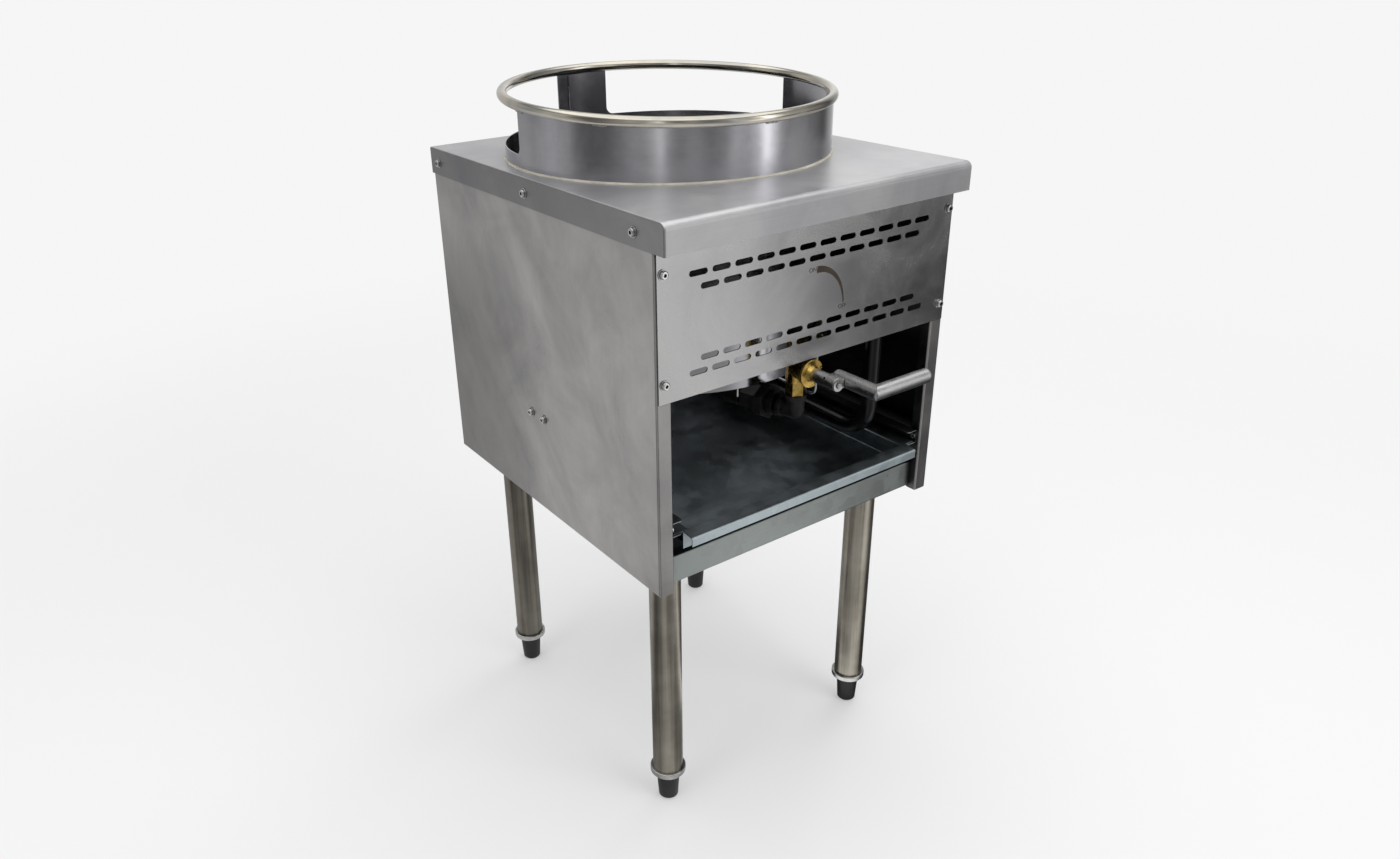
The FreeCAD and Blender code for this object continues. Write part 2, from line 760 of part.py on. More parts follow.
def fire_drum():
    """Drum with its top cut along the ring, two rear windows and a lapped seam."""
    tall = ring_height + drum_radius - drum_bottom
    base = (0, drum_back, drum_bottom)
    outer = rod(drum_radius, base, (0, 0, 1), tall)
    inner = rod(drum_radius - drum_wall, base, (0, 0, 1), tall)
    lap_radius = drum_radius - drum_wall
    lap = rod(lap_radius, base, (0, 0, 1), tall).cut(rod(lap_radius - drum_wall, base, (0, 0, 1), tall))
    lap = lap.common(sector(seam_angle, seam_angle + seam_lap, drum_bottom, tall))
    drum = joined([outer.cut(inner), lap])
    normal = ring_plane_normal()
    seat = V(0, drum_back, ring_height) - normal * ring_bar_radius
    reach = 2 * drum_radius
    above = Part.makeBox(2 * reach, 2 * reach, reach, V(-reach, -reach, 0))
    above.Placement = FreeCAD.Placement(seat, FreeCAD.Rotation(V(0, 0, 1), normal))
    drum = drum.cut(above)
    sill = top_height + window_sill
    for start, end in (right_window_angles, left_window_angles):
        drum = drum.cut(sector(start, end, sill, drum_radius))
    corners = [e for e in drum.Edges if is_sill_corner(e, sill)]
    return joined([drum.makeFillet(window_corner, corners), drum_tab()])


def at_drum_angle(shape, angle):
    """Turn a piece that stands on +X about the drum's axis."""
    turned = shape.copy()
    turned.rotate(V(0, 0, 0), V(0, 0, 1), angle)
    turned.translate(V(0, drum_back, 0))
    return turned


def drum_tab():
    """Small tab inside the drum's foot, with a screw hole."""
    outer = drum_radius - drum_wall / 2
    inner = outer - drum_tab_reach
    half = drum_tab_width / 2
    tab = box(inner, outer, -half, half, drum_bottom, drum_bottom + drum_wall)
    tab = tab.common(rod(outer, (0, 0, drum_bottom), (0, 0, 1), drum_wall))
    bore = rod(drum_screw_radius + bolt_hole_gap, (outer - drum_tab_reach / 2, 0, drum_bottom - past),
               (0, 0, 1), drum_wall + 2 * past)
    return at_drum_angle(tab.cut(bore), drum_tab_angle)


def drum_screw():
    """Bright screw that hangs through the tab."""
    out = drum_radius - drum_wall / 2 - drum_tab_reach / 2
    seat = drum_bottom + drum_wall
    head = rod(2 * drum_screw_radius, (out, 0, seat), (0, 0, 1), drum_screw_head)
    shank = rod(drum_screw_radius, (out, 0, seat - drum_screw_length), (0, 0, 1), drum_screw_length)
    return at_drum_angle(joined([head, shank]), drum_tab_angle)


def sector(start, end, base, tall):
    """A tall wedge about the drum's axis between two angles."""
    reach = 2 * drum_radius
    points = [V(0, drum_back, base)]
    for angle in (start, (start + end) / 2, end):
        turn = math.radians(angle)
        points.append(V(reach * math.cos(turn), drum_back + reach * math.sin(turn), base))
    points.append(points[0])
    return Part.Face(Part.makePolygon(points)).extrude(V(0, 0, tall))


def is_sill_corner(edge, sill):
    """True on the short edges across the wall at a window's lower corners."""
    bounds = edge.BoundBox
    flat = abs(bounds.ZMin - sill) < tiny and bounds.ZLength < tiny
    return flat and edge.Length < 2 * drum_wall


def wok_ring():
    """Round bar bent to a ring, on the sloping top of the drum."""
    return Part.makeTorus(drum_radius - drum_wall / 2, ring_bar_radius,
                          V(0, drum_back, ring_height), ring_plane_normal())


def collar_bead():
    """Bead round the drum on the cover."""
    inner = drum_radius + hole_clearance
    section = [V(inner, 0, top_height)]
    for i in range(bead_flats + 1):
        turn = math.pi / 2 * i / bead_flats
        section.append(V(inner + bead_size * math.cos(turn), 0, top_height + bead_size * math.sin(turn)))
    section.append(section[0])
    bead = Part.Face(Part.makePolygon(section)).revolve(V(0, 0, 0), V(0, 0, 1), 360)
    bead.translate(V(0, drum_back, 0))
    return bead


# ---- tray and rails --------------------------------------------------------------
def drip_tray():
    """Tray: floor and walls, side flanges that run in the rails and a hooked front lip."""
    low = tray_top - tray_depth
    back = half_depth - tray_rear_gap
    wall = tray_wall_side
    out = wall + tray_flange
    section = [(-out, tray_top), (-wall, tray_top), (-wall, low), (wall, low), (wall, tray_top),
               (out, tray_top)]
    trough = folded_sheet(section, tray_sheet, "xz", tray_front, back)
    side = tray_front_side
    front_wall = box(-side, side, tray_front, tray_front + tray_sheet, low - tray_sheet, tray_top)
    back_wall = box(-wall, wall, back - tray_sheet, back, low - tray_sheet, tray_top)
    lip_front = tray_front - lip_reach
    lip_top = tray_top - lip_fall
    lip_path = [(lip_front, lip_top - lip_drop), (lip_front, lip_top), (tray_front, tray_top),
                (tray_front + tray_sheet, tray_top)]
    lip = folded_sheet(lip_path, tray_sheet, "yz", -side, side)
    return joined([trough, front_wall, back_wall, lip])


def tray_rail():
    """Right rail: a channel whose flanges point inwards, with a tab behind."""
    web = lip_side
    inner = web - rail_depth
    high = rail_low + rail_height
    path = [(inner, rail_low), (web, rail_low), (web, high), (inner, high)]
    rail = folded_sheet(path[::-1], rail_sheet, "xz", rail_front, rear_flange_face - sheet)
    corners = [e for e in rail.Edges if is_rail_corner(e, inner)]
    rail = rail.makeFillet(rail_corner, corners)
    rear = rear_flange_face - sheet
    tab = box(web - rail_sheet / 2, web + rail_tab, rear - rail_sheet, rear, rail_low + rail_sheet,
              high - rail_sheet)
    cutters = [hole(s, d) for s, d in back_bolt_seats() if s[0] > 0]
    cutters += rail_screw_holes(1)
    return joined([rail, tab]).cut(gathered(cutters))


def is_rail_corner(edge, inner):
    """True on the short upright edges at the front ends of the channel's flanges."""
    bounds = edge.BoundBox
    upright = abs(bounds.ZLength - rail_sheet) < tiny and bounds.XLength < tiny and bounds.YLength < tiny
    return upright and abs(bounds.XMin - inner) < tiny and abs(bounds.YMin - rail_front) < tiny


def rail_screws():
    """Screws through the rails' front ends and the return lips, with their nuts."""
    pieces = []
    for seat, direction in rail_screw_seats():
        out = V(*direction)
        base = V(*seat)
        grip = rail_sheet + sheet
        head = Part.makeCylinder(rail_screw_head, rail_screw_head_height, base, out)
        recess_start = base + out * (rail_screw_head_height - rail_screw_socket_deep)
        recess = hexagon(rail_screw_socket, tuple(recess_start), direction, rail_screw_socket_deep + past)
        reach = grip + rail_nut_height + rail_screw_end
        shank = Part.makeCylinder(rail_screw_radius, reach, base - out * reach, out)
        nut_start = base - out * (grip + rail_nut_height)
        nut = hexagon(rail_nut_width, tuple(nut_start), direction, rail_nut_height)
        pieces.append(joined([head.cut(recess), shank, nut]))
    return gathered(pieces)


# ---- legs and feet ---------------------------------------------------------------
def leg(x, y):
    """Leg tube from the foot socket up to the leg rail."""
    tall = body_bottom + sheet - leg_bottom
    return straight_pipe((x, y, leg_bottom), (0, 0, 1), tall, leg_radius, leg_radius - leg_wall)


def foot_socket(x, y):
    """Bright socket pressed into the leg, with the bore for the foot's stud."""
    rim = rod(socket_radius, (x, y, leg_bottom - socket_rim), (0, 0, 1), socket_rim)
    rim = rim.makeFillet(socket_round, [rim.Edges[0], rim.Edges[2]])
    plug = rod(leg_radius - leg_wall - socket_gap, (x, y, leg_bottom), (0, 0, 1), socket_depth)
    bore = rod(foot_stud_radius + running_gap, (x, y, leg_bottom - socket_rim - past), (0, 0, 1),
               socket_depth + socket_rim + 2 * past)
    return joined([rim, plug]).cut(bore)


def foot(x, y):
    """Bullet foot with its stud, screwed right in at rest."""
    top = leg_bottom - socket_rim
    profile = [V(0, 0, 0), V(foot_tip_radius - foot_tip_round, 0, 0),
               V(foot_tip_radius, 0, foot_tip_round),
               V(foot_top_radius, 0, top - foot_band), V(foot_top_radius, 0, top),
               V(foot_stud_radius, 0, top),
               V(foot_stud_radius, 0, top + foot_stud_length), V(0, 0, top + foot_stud_length), V(0, 0, 0)]
    body = Part.Face(Part.makePolygon(profile)).revolve(V(0, 0, 0), V(0, 0, 1), 360)
    body.translate(V(x, y, 0))
    return body


def leg_rail_piece(side):
    """Plate along a side panel's foot flange, between the cross pieces, that carries two legs."""
    outer = half_width - sheet - panel_gap
    low = body_bottom + sheet
    front = -half_depth + apron_back + apron_flange + leg_rail_gap
    rear = rear_flange_face - sheet - apron_flange - leg_rail_gap
    span = sorted((side * (leg_side - leg_rail_lap), side * outer))
    plate = box(span[0], span[1], front, rear, low, low + leg_rail)
    bores = [rod(leg_stud_radius + bolt_hole_gap, (x, y, low - past), (0, 0, 1), leg_rail + 2 * past)
             for _, x, y in leg_places() if x * side > 0]
    return plate.cut(gathered(bores))


def leg_stud(x, y):
    """Disc in the top of a leg with the stud and nut that hold it to the leg rail."""
    low = body_bottom + sheet
    disc = rod(leg_radius - leg_wall - socket_gap, (x, y, low - leg_stud_disc), (0, 0, 1), leg_stud_disc)
    stud = rod(leg_stud_radius, (x, y, low), (0, 0, 1), leg_rail + leg_stud_reach)
    nut = hexagon(leg_nut_width, (x, y, low + leg_rail), (0, 0, 1), leg_nut_height)
    return joined([disc, stud, nut])


# ---- burner ----------------------------------------------------------------------
def burner_bar():
    """Bar across the cabinet with a turned-down tab bolted to each side panel."""
    side = half_width - sheet
    path = [(-side, bar_top - bar_drop), (-side, bar_top), (side, bar_top), (side, bar_top - bar_drop)]
    bar = folded_sheet(path, bar_sheet, "xz", bar_back - bar_width / 2, bar_back + bar_width / 2, bar_bend)
    cutters = [hole(s, d) for s, d in bar_bolt_seats()]
    cutters += [hole(s, (0, 0, 1)) for s in casting_bolt_places()]
    return bar.cut(gathered(cutters))


def casting_bolt_places():
    """The two bolts of the burner casting, on the bar."""
    return [(side * casting_bolt_side, bar_back - casting_bolt_fore, bar_top) for side in (-1, 1)]


def supply_way():
    """Direction of the pipes from the valve to the burner."""
    turn = math.radians(supply_turn)
    return (-math.sin(turn), math.cos(turn), 0.0)


def hub_way():
    """Direction from the last elbow into the burner's hub."""
    ahead = supply_way()
    return (ahead[1], -ahead[0], 0.0)


def supply_reach():
    """Distance from the valve's elbow to the burner's elbow."""
    return (valve_fore + drum_back) * math.cos(math.radians(supply_turn))


def hub_distance():
    """Distance from the burner's elbow to the hub's axis."""
    return (valve_fore + drum_back) * math.sin(math.radians(supply_turn))


def burner_casting():
    """Burner casting: foot, upright hub with a side inlet, hollow head."""
    low = bar_top + casting_flange
    foot_plate = box(-foot_half_width, foot_half_width, bar_back - foot_half_depth,
                     bar_back + foot_half_depth, bar_top, low)
    upright = [e for e in foot_plate.Edges if abs(e.BoundBox.ZLength - casting_flange) < tiny]
    foot_plate = foot_plate.makeFillet(foot_corner, upright)
    hub = rod(hub_radius, (0, drum_back, low), (0, 0, 1), head_bottom - low)
    neck = V(0, drum_back, head_bottom - neck_height)
    cone = Part.makeCone(hub_radius, neck_radius, neck_height, neck, V(0, 0, 1))
    head = rod(head_radius, (0, drum_back, head_bottom), (0, 0, 1), head_height)
    head = head.makeFillet(head_round, [head.Edges[0], head.Edges[2]])
    inward = hub_way()
    mouth = (-boss_reach * inward[0], drum_back - boss_reach * inward[1], supply_height)
    boss = rod(supply_radius + boss_wall, mouth, inward, boss_reach)
    cavity_low = low + casting_floor
    cavity_tall = head_bottom + head_wall + past - cavity_low
    cavity = rod(supply_bore, (0, drum_back, cavity_low), (0, 0, 1), cavity_tall)
    chamber = rod(head_radius - head_wall, (0, drum_back, head_bottom + head_wall), (0, 0, 1),
                  head_height - 2 * head_wall)
    inlet = rod(supply_bore, mouth, inward, boss_reach)
    socket = rod(supply_radius + socket_gap, mouth, inward, fitting_socket)
    tips = [rod(tip_stem_radius + socket_gap, (x, y, head_bottom + head_height - head_wall - past), (0, 0, 1),
                head_wall + 2 * past) for x, y in tip_places()]
    bolts = [hole(s, (0, 0, 1)) for s in casting_bolt_places()]
    return joined([foot_plate, hub, cone, head, boss]).cut(
        gathered([cavity, chamber, inlet, socket] + tips + bolts))


def tip_places():
    """Middles of the jet tips on the head."""
    places = []
    for radius, count in zip(tip_circle_radii, tip_counts):
        for i in range(count):
            turn = 2 * math.pi * i / count
            places.append((radius * math.cos(turn), drum_back + radius * math.sin(turn)))
    return places


def burner_tips():
    """Brass jet tips, each screwed into the head."""
    top = head_bottom + head_height
    tips = []
    for x, y in tip_places():
        stem = rod(tip_stem_radius, (x, y, top - head_wall), (0, 0, 1), head_wall)
        nut = hexagon(tip_nut_width, (x, y, top), (0, 0, 1), tip_nut)
        cone_base = V(x, y, top + tip_nut)
        cone = Part.makeCone(tip_base_radius, tip_end_radius, tip_height - tip_nut, cone_base, V(0, 0, 1))
        bore = rod(tip_bore, (x, y, top - head_wall - past), (0, 0, 1), tip_height + head_wall + 2 * past)
        tips.append(joined([stem, nut, cone]).cut(bore))
    return gathered(tips)


# ---- gas pipes -------------------------------------------------------------------
def on_supply(shape):
    """Turn and move a piece built along +X from the valve elbow's centre."""
    turned = shape.copy()
    turned.rotate(V(0, 0, 0), V(0, 0, 1), 90.0 + supply_turn)
    turned.translate(V(0, -valve_fore, supply_height))
    return turned


def tube_on_x(start, end, outer, bore):
    """A tube along +X."""
    return straight_pipe((start, 0, 0), (1, 0, 0), end - start, outer, bore)


def gas_train():
    """Every fixed piece from the inlet behind to the burner casting."""
    gap = fitting_arm - fitting_socket
    ahead = supply_way()
    inward = hub_way()
    reach = supply_reach()
    last = (ahead[0] * reach, -valve_fore + ahead[1] * reach, supply_height)
    back = tuple(-a for a in ahead)
    nipple_start = tuple(c + d * gap for c, d in zip(last, inward))
    nipple = hub_distance() - gap - (boss_reach - fitting_socket)
    pieces = {
        "valve_elbow": elbow((0.0, -valve_fore, supply_height), (0, 0, 1), ahead, supply_radius, supply_bore),
        "burner_elbow": elbow(last, back, inward, supply_radius, supply_bore),
        "burner_nipple": straight_pipe(nipple_start, inward, nipple, supply_radius, supply_bore),
        "manifold_elbow": elbow((0.0, -valve_fore, manifold_height), (0, 0, -1), (1, 0, 0),
                                pipe_radius, pipe_bore),
        "riser_elbow": elbow((riser_side, -valve_fore, manifold_height), (0, 0, -1), (-1, 0, 0),
                             pipe_radius, pipe_bore),
        "manifold_pipe": manifold_pipe(gap),
    }
    pieces.update(union_pieces(gap))
    pieces.update(coupling_pieces(gap, reach))
    pieces.update(inlet_pieces(gap))
    return pieces


def manifold_pipe(gap):
    """Pipe above the valve, tapped for the pilot valve."""
    pipe = straight_pipe((gap, -valve_fore, manifold_height), (1, 0, 0), riser_side - 2 * gap)
    tap = rod(pilot_tap_radius, (pilot_side, -valve_fore, pilot_valve_top - past), (0, 0, 1), pipe_radius)
    return pipe.cut(tap)


def union_pieces(gap):
    """Nipple and union behind the valve's elbow."""
    head_end = union_start + union_head
    nut_start = head_end - union_nut_lap
    nut_end = nut_start + union_nut
    shoulder = nut_end - union_nut_end
    end = union_start + union_length
    nipple = tube_on_x(gap, union_start + fitting_socket, supply_radius, supply_bore)
    head = tube_on_x(union_start, head_end, union_head_radius, supply_bore)
    head = head.cut(rod(supply_radius + socket_gap, (union_start - past, 0, 0), (1, 0, 0),
                        fitting_socket + past))
    nut = hexagon(union_nut_width, (nut_start, 0, 0), (1, 0, 0), union_nut)
    nut = nut.common(Part.makeSphere(union_nut_corner, V((nut_start + nut_end) / 2, 0, 0)))
    wide = rod(union_head_radius + socket_gap, (nut_start - past, 0, 0), (1, 0, 0),
               shoulder - nut_start + past)
    nut = nut.cut(wide)
    nut = nut.cut(rod(union_tail_radius + socket_gap, (nut_start, 0, 0), (1, 0, 0), union_nut + past))
    collar = rod(union_head_radius, (head_end, 0, 0), (1, 0, 0), shoulder - head_end - socket_gap)
    neck = rod(union_tail_radius, (head_end, 0, 0), (1, 0, 0), end - head_end)
    flats_start = nut_end + union_neck
    flats = hexagon(union_tail_width, (flats_start, 0, 0), (1, 0, 0), end - flats_start)
    tail = joined([collar, neck, flats])
    tail = tail.cut(rod(supply_bore, (head_end - past, 0, 0), (1, 0, 0), end - head_end + 2 * past))
    socket = rod(supply_radius + socket_gap, (end - fitting_socket, 0, 0), (1, 0, 0),
                 fitting_socket + past)
    tail = tail.cut(socket)
    return {"union_nipple": on_supply(nipple), "union_head": on_supply(head),
            "union_nut": on_supply(nut), "union_tail": on_supply(tail)}


def coupling_pieces(gap, reach):
    """Close nipple, coupling and the long pipe under the drum."""
    union_end = union_start + union_length
    start = coupling_start
    end = start + coupling_length
    close = tube_on_x(union_end - fitting_socket, start + fitting_socket, supply_radius, supply_bore)
    body = rod(coupling_radius, (start, 0, 0), (1, 0, 0), coupling_length)
    body = body.makeFillet(fitting_round, [body.Edges[0], body.Edges[2]])
    body = body.cut(rod(supply_bore, (start - past, 0, 0), (1, 0, 0), coupling_length + 2 * past))
    for mouth in (start - past, end - fitting_socket):
        body = body.cut(rod(supply_radius + socket_gap, (mouth, 0, 0), (1, 0, 0), fitting_socket + past))
    pipe = tube_on_x(end - fitting_socket, reach - gap, supply_radius, supply_bore)
    return {"close_nipple": on_supply(close), "supply_coupling": on_supply(body),
            "supply_pipe": on_supply(pipe)}


def inlet_pieces(gap):
    """Gas pipe from the rear, the reducing coupling and the inlet nipple."""
    rear = half_depth + inlet_reach
    nipple_front = rear - inlet_length
    x, z = riser_side, riser_height_low
    front = nipple_front + fitting_socket - reducer_length
    route = [(x, front + fitting_socket, z), (x, -valve_fore, z), (x, -valve_fore, manifold_height - gap)]
    reducer = rod(reducer_radius, (x, front, z), (0, 1, 0), reducer_length)
    reducer = reducer.makeFillet(fitting_round, [reducer.Edges[0], reducer.Edges[2]])
    reducer = reducer.cut(gathered([
        rod(pipe_radius + socket_gap, (x, front - past, z), (0, 1, 0), fitting_socket + past),
        rod(pipe_bore, (x, front, z), (0, 1, 0), reducer_length)]))
    thread = inlet_radius - inlet_thread
    reducer = reducer.cut(rod(thread + socket_gap, (x, nipple_front, z), (0, 1, 0), fitting_socket + past))
    nipple = joined([rod(thread, (x, nipple_front, z), (0, 1, 0), inlet_length - inlet_reach),
                     rod(inlet_radius, (x, half_depth, z), (0, 1, 0), inlet_reach)])
    nipple = nipple.cut(rod(inlet_bore, (x, nipple_front - past, z), (0, 1, 0), inlet_length + 2 * past))
    return {"gas_pipe": bent_pipe(route, pipe_radius, pipe_bore, riser_bend),
            "reducing_coupling": reducer, "gas_inlet": nipple}


# ---- valve and lever -------------------------------------------------------------
def valve_body():
    """Brass valve: upright through-way, plug chamber, stop flange and stop pin."""
    y, z = -valve_fore, valve_height
    low = supply_height + fitting_arm
    high = manifold_height - fitting_arm
    upright = rod(valve_body_radius, (0, y, low + valve_hex_height), (0, 0, 1),
                  high - low - 2 * valve_hex_height)
    low_hex = hexagon(valve_hex, (0, y, low), (0, 0, 1), valve_hex_height, valve_hex_turn)
    high_hex = hexagon(valve_hex, (0, y, high - valve_hex_height), (0, 0, 1), valve_hex_height,
                       valve_hex_turn)
    low_end = rod(supply_radius, (0, y, low - fitting_socket), (0, 0, 1), fitting_socket + past)
    high_end = rod(pipe_radius, (0, y, high - past), (0, 0, 1), fitting_socket + past)
    flange_front = -disc_back_fore + disc_play
    boss = rod(valve_boss_radius, (0, flange_front, z), (0, 1, 0), y - flange_front)
    flange = rod(stop_flange_radius, (0, flange_front, z), (0, 1, 0), stop_flange)
    flange = flange.makeFillet(disc_round, [flange.Edges[0], flange.Edges[2]])
    chamber = rod(plug_radius + running_gap, (0, y - plug_length / 2, z), (0, 1, 0), plug_length)
    stem_way = rod(stem_radius + running_gap, (0, flange_front - past, z), (0, 1, 0), y - flange_front)
    way = rod(plug_passage, (0, y, low - fitting_socket - past), (0, 0, 1),
              high - low + 2 * (fitting_socket + past))
    body = joined([upright, low_hex, high_hex, low_end, high_end, boss, flange])
    body = body.cut(chamber).cut(way).cut(stem_way)
    return joined([body, stop_pin()])


def stop_pin():
    """Pin that the notch of the stop disc runs against."""
    turn = math.radians(stop_pin_angle)
    start = -disc_back_fore + disc_play + stop_pin_stand
    reach = disc_face_fore + stop_pin_stand + start
    centre = (stop_pin_out * math.cos(turn), start, valve_height + stop_pin_out * math.sin(turn))
    return rod(stop_pin_radius, centre, (0, -1, 0), reach)


def valve_plug():
    """Plug with its cross passage shut at rest, and the stem."""
    y, z = -valve_fore, valve_height
    plug = rod(plug_radius, (0, y - plug_length / 2 + plug_end_gap, z), (0, 1, 0),
               plug_length - 2 * plug_end_gap)
    stem = rod(stem_radius, (0, -sleeve_front + stem_short, z), (0, 1, 0), sleeve_front - stem_short + y)
    stud = rod(end_stud_radius, (0, -sleeve_front - end_stud_reach, z), (0, 1, 0),
               end_stud_reach + stem_short)
    passage = rod(plug_passage, (-plug_radius - past, y, z), (1, 0, 0), 2 * (plug_radius + past))
    return joined([plug, stem, stud]).cut(passage)


def stop_disc():
    """Brass disc with a quarter notch and a tapered hub."""
    z = valve_height
    disc = rod(disc_radius, (0, -disc_face_fore, z), (0, 1, 0), disc_thick)
    disc = disc.makeFillet(disc_round, [disc.Edges[0], disc.Edges[2]])
    hub = Part.makeCone(disc_hub_radius, sleeve_radius, disc_hub, V(0, -disc_face_fore, z), V(0, -1, 0))
    half = math.degrees(math.asin(stop_pin_radius / stop_pin_out)) + stop_notch_angle
    start = stop_pin_angle - half - lever_turn
    turn = lever_turn + 2 * half
    points = [V(0, -disc_face_fore - past, z)]
    for i in range(5):
        angle = math.radians(start + turn * i / 4)
        points.append(V(2 * disc_radius * math.cos(angle), -disc_face_fore - past,
                        z + 2 * disc_radius * math.sin(angle)))
    points.append(points[0])
    wedge = Part.Face(Part.makePolygon(points)).extrude(V(0, disc_thick + 2 * past, 0))
    core = rod(disc_hub_radius, (0, -disc_face_fore - 2 * past, z), (0, 1, 0), disc_thick + 4 * past)
    wedge = wedge.cut(core)
    bore = rod(stem_radius + socket_gap, (0, -disc_face_fore - disc_hub - past, z), (0, 1, 0),
               disc_hub + disc_thick + 2 * past)
    return joined([disc, hub]).cut(wedge).cut(bore)


def lever_sleeve():
    """Sleeve on the stem with its set screw hole."""
    z = valve_height
    sleeve = rod(sleeve_radius, (0, -sleeve_front, z), (0, 1, 0), sleeve_length)
    sleeve = sleeve.makeFillet(sleeve_round, [sleeve.Edges[0], sleeve.Edges[2]])
    bore = rod(stem_radius + socket_gap, (0, -sleeve_front - past, z), (0, 1, 0), sleeve_length + 2 * past)
    screw_hole = rod(set_screw_radius, (0, -sleeve_front + set_screw_back, z), (-0.8, 0, 0.6),
                     sleeve_radius + past)
    return sleeve.cut(bore).cut(screw_hole)


def lever_nut():
    """Washer and nut on the end of the stem."""
    z = valve_height
    washer = rod(end_washer_radius, (0, -sleeve_front - end_washer_thick, z), (0, 1, 0), end_washer_thick)
    face = -sleeve_front - end_washer_thick - end_nut_height
    nut = hexagon(end_nut_width, (0, face, z), (0, 1, 0), end_nut_height)
    bore = rod(end_stud_radius + socket_gap, (0, face - past, z), (0, 1, 0),
               end_nut_height + end_washer_thick + 2 * past)
    return joined([washer, nut]).cut(bore)


def lever_rod():
    """Rod welded beside the sleeve, with a mitred corner to the arm."""
    z = valve_height
    x = sleeve_radius + rod_radius
    start = -sleeve_front + rod_lap
    run = rod(rod_radius, (x, -arm_fore - rod_radius, z), (0, 1, 0), start + arm_fore + rod_radius)
    run = run.makeFillet(rod_end_round, [e for e in run.Edges if is_end_edge(e.BoundBox, "Y", start)])
    arm = rod(rod_radius, (x - rod_radius, -arm_fore, z), (1, 0, 0), arm_end - x + rod_radius)
    arm = arm.makeFillet(rod_end_round, [e for e in arm.Edges if is_end_edge(e.BoundBox, "X", arm_end)])
    run_side = half_space_at((x, -arm_fore, z), mitre_angle)
    arm_side = half_space_at((x, -arm_fore, z), mitre_angle - 180.0)
    weld = box(0, x, -sleeve_front + weld_short, start - weld_short, z - weld_half, z + weld_half)
    inside = rod(sleeve_radius + socket_gap, (0, -sleeve_front - past, z), (0, 1, 0),
                 sleeve_length + 2 * past)
    weld = weld.cut(inside)
    left = x - rod_radius + rod_corner_round
    front = -arm_front + rod_corner_round
    corner = box(left - rod_radius, left, front - rod_radius, front, z - 2 * rod_radius, z + 2 * rod_radius)
    corner = corner.cut(rod(rod_corner_round, (left, front, z - 3 * rod_radius), (0, 0, 1), 6 * rod_radius))
    return joined([run.common(run_side), arm.common(arm_side), weld]).cut(corner)


def is_end_edge(bounds, axis, level):
    """True on a flat edge that lies at a level along X or Y."""
    length = bounds.XLength if axis == "X" else bounds.YLength
    place = bounds.XMax if axis == "X" else bounds.YMax
    return length < tiny and abs(place - level) < tiny


def half_space_at(corner, turn):
    """A large block on one side of an upright plane through a corner."""
    size = 2 * arm_fore
    block = Part.makeBox(size, size, size, V(-size / 2, 0, -size / 2))
    block.Placement = FreeCAD.Placement(V(*corner), FreeCAD.Rotation(V(0, 0, 1), turn))
    return block


# ---- pilot -----------------------------------------------------------------------
def pilot_screw_height():
    """Axis of the pilot valve's adjusting screw."""
    return pilot_valve_top - pilot_boss_drop


def pilot_valve():
    """Small valve hung on the manifold pipe, with a bore for its screw."""
    y = -valve_fore
    low = pilot_valve_top - pilot_valve_length
    saddle = rod(pipe_radius + socket_gap, (pilot_side - pilot_saddle, y, manifold_height), (1, 0, 0),
                 2 * pilot_saddle)
    body = rod(pilot_valve_radius, (pilot_side, y, low), (0, 0, 1), pilot_valve_length + pilot_saddle_rise)
    nut = hexagon(pilot_nut_width, (pilot_side, y, low - pilot_nut), (0, 0, 1), pilot_nut + pilot_nut_lap)
    boss = rod(pilot_screw_radius + pilot_boss_wall,
               (pilot_side, y - pilot_boss, pilot_screw_height()), (0, 1, 0), pilot_boss)
    foot = low - pilot_nut - past
    way = rod(pilot_way_radius, (pilot_side, y, foot), (0, 0, 1), manifold_height - foot)
    seat = rod(pilot_tube_radius + socket_gap, (pilot_side, y, foot), (0, 0, 1), low + past - foot)
    screw_way = rod(pilot_screw_radius + running_gap,
                    (pilot_side, y - pilot_boss - past, pilot_screw_height()), (0, 1, 0), pilot_boss)
    return joined([body, nut, boss]).cut(saddle).cut(way).cut(seat).cut(screw_way)


def pilot_screw():
    """Slotted adjusting screw of the pilot valve."""
    z = pilot_screw_height()
    face = -valve_fore - pilot_boss - pilot_screw_play
    front = face - pilot_screw_head
    shank = rod(pilot_screw_radius, (pilot_side, face, z), (0, 1, 0), pilot_boss - pilot_screw_short)
    head = rod(pilot_screw_head_radius, (pilot_side, front, z), (0, 1, 0), pilot_screw_head)
    reach = pilot_screw_head_radius + past
    slot = box(pilot_side - reach, pilot_side + reach, front - past, front + pilot_slot_deep,
               z - pilot_slot_half, z + pilot_slot_half)
    return joined([shank, head]).cut(slot)


def pilot_stand():
    """Distance of the pilot nozzle before the cabinet's middle, off the head's rim."""
    return math.sqrt(head_radius ** 2 - pilot_side ** 2) + pilot_stand_off - drum_back


def pilot_tube():
    """Thin tube from the pilot valve down, back and up to the pilot nozzle."""
    top = pilot_valve_top - pilot_valve_length
    edge = -pilot_stand()
    base = pilot_tip_height - pilot_nozzle_length
    route = [(pilot_side, -valve_fore, top), (pilot_side, -valve_fore, pilot_run_height),
             (pilot_side, edge, pilot_run_height), (pilot_side, edge, base + pilot_tube_lap)]
    return bent_pipe(route, pilot_tube_radius, pilot_tube_radius - pilot_tube_wall, pilot_bend)


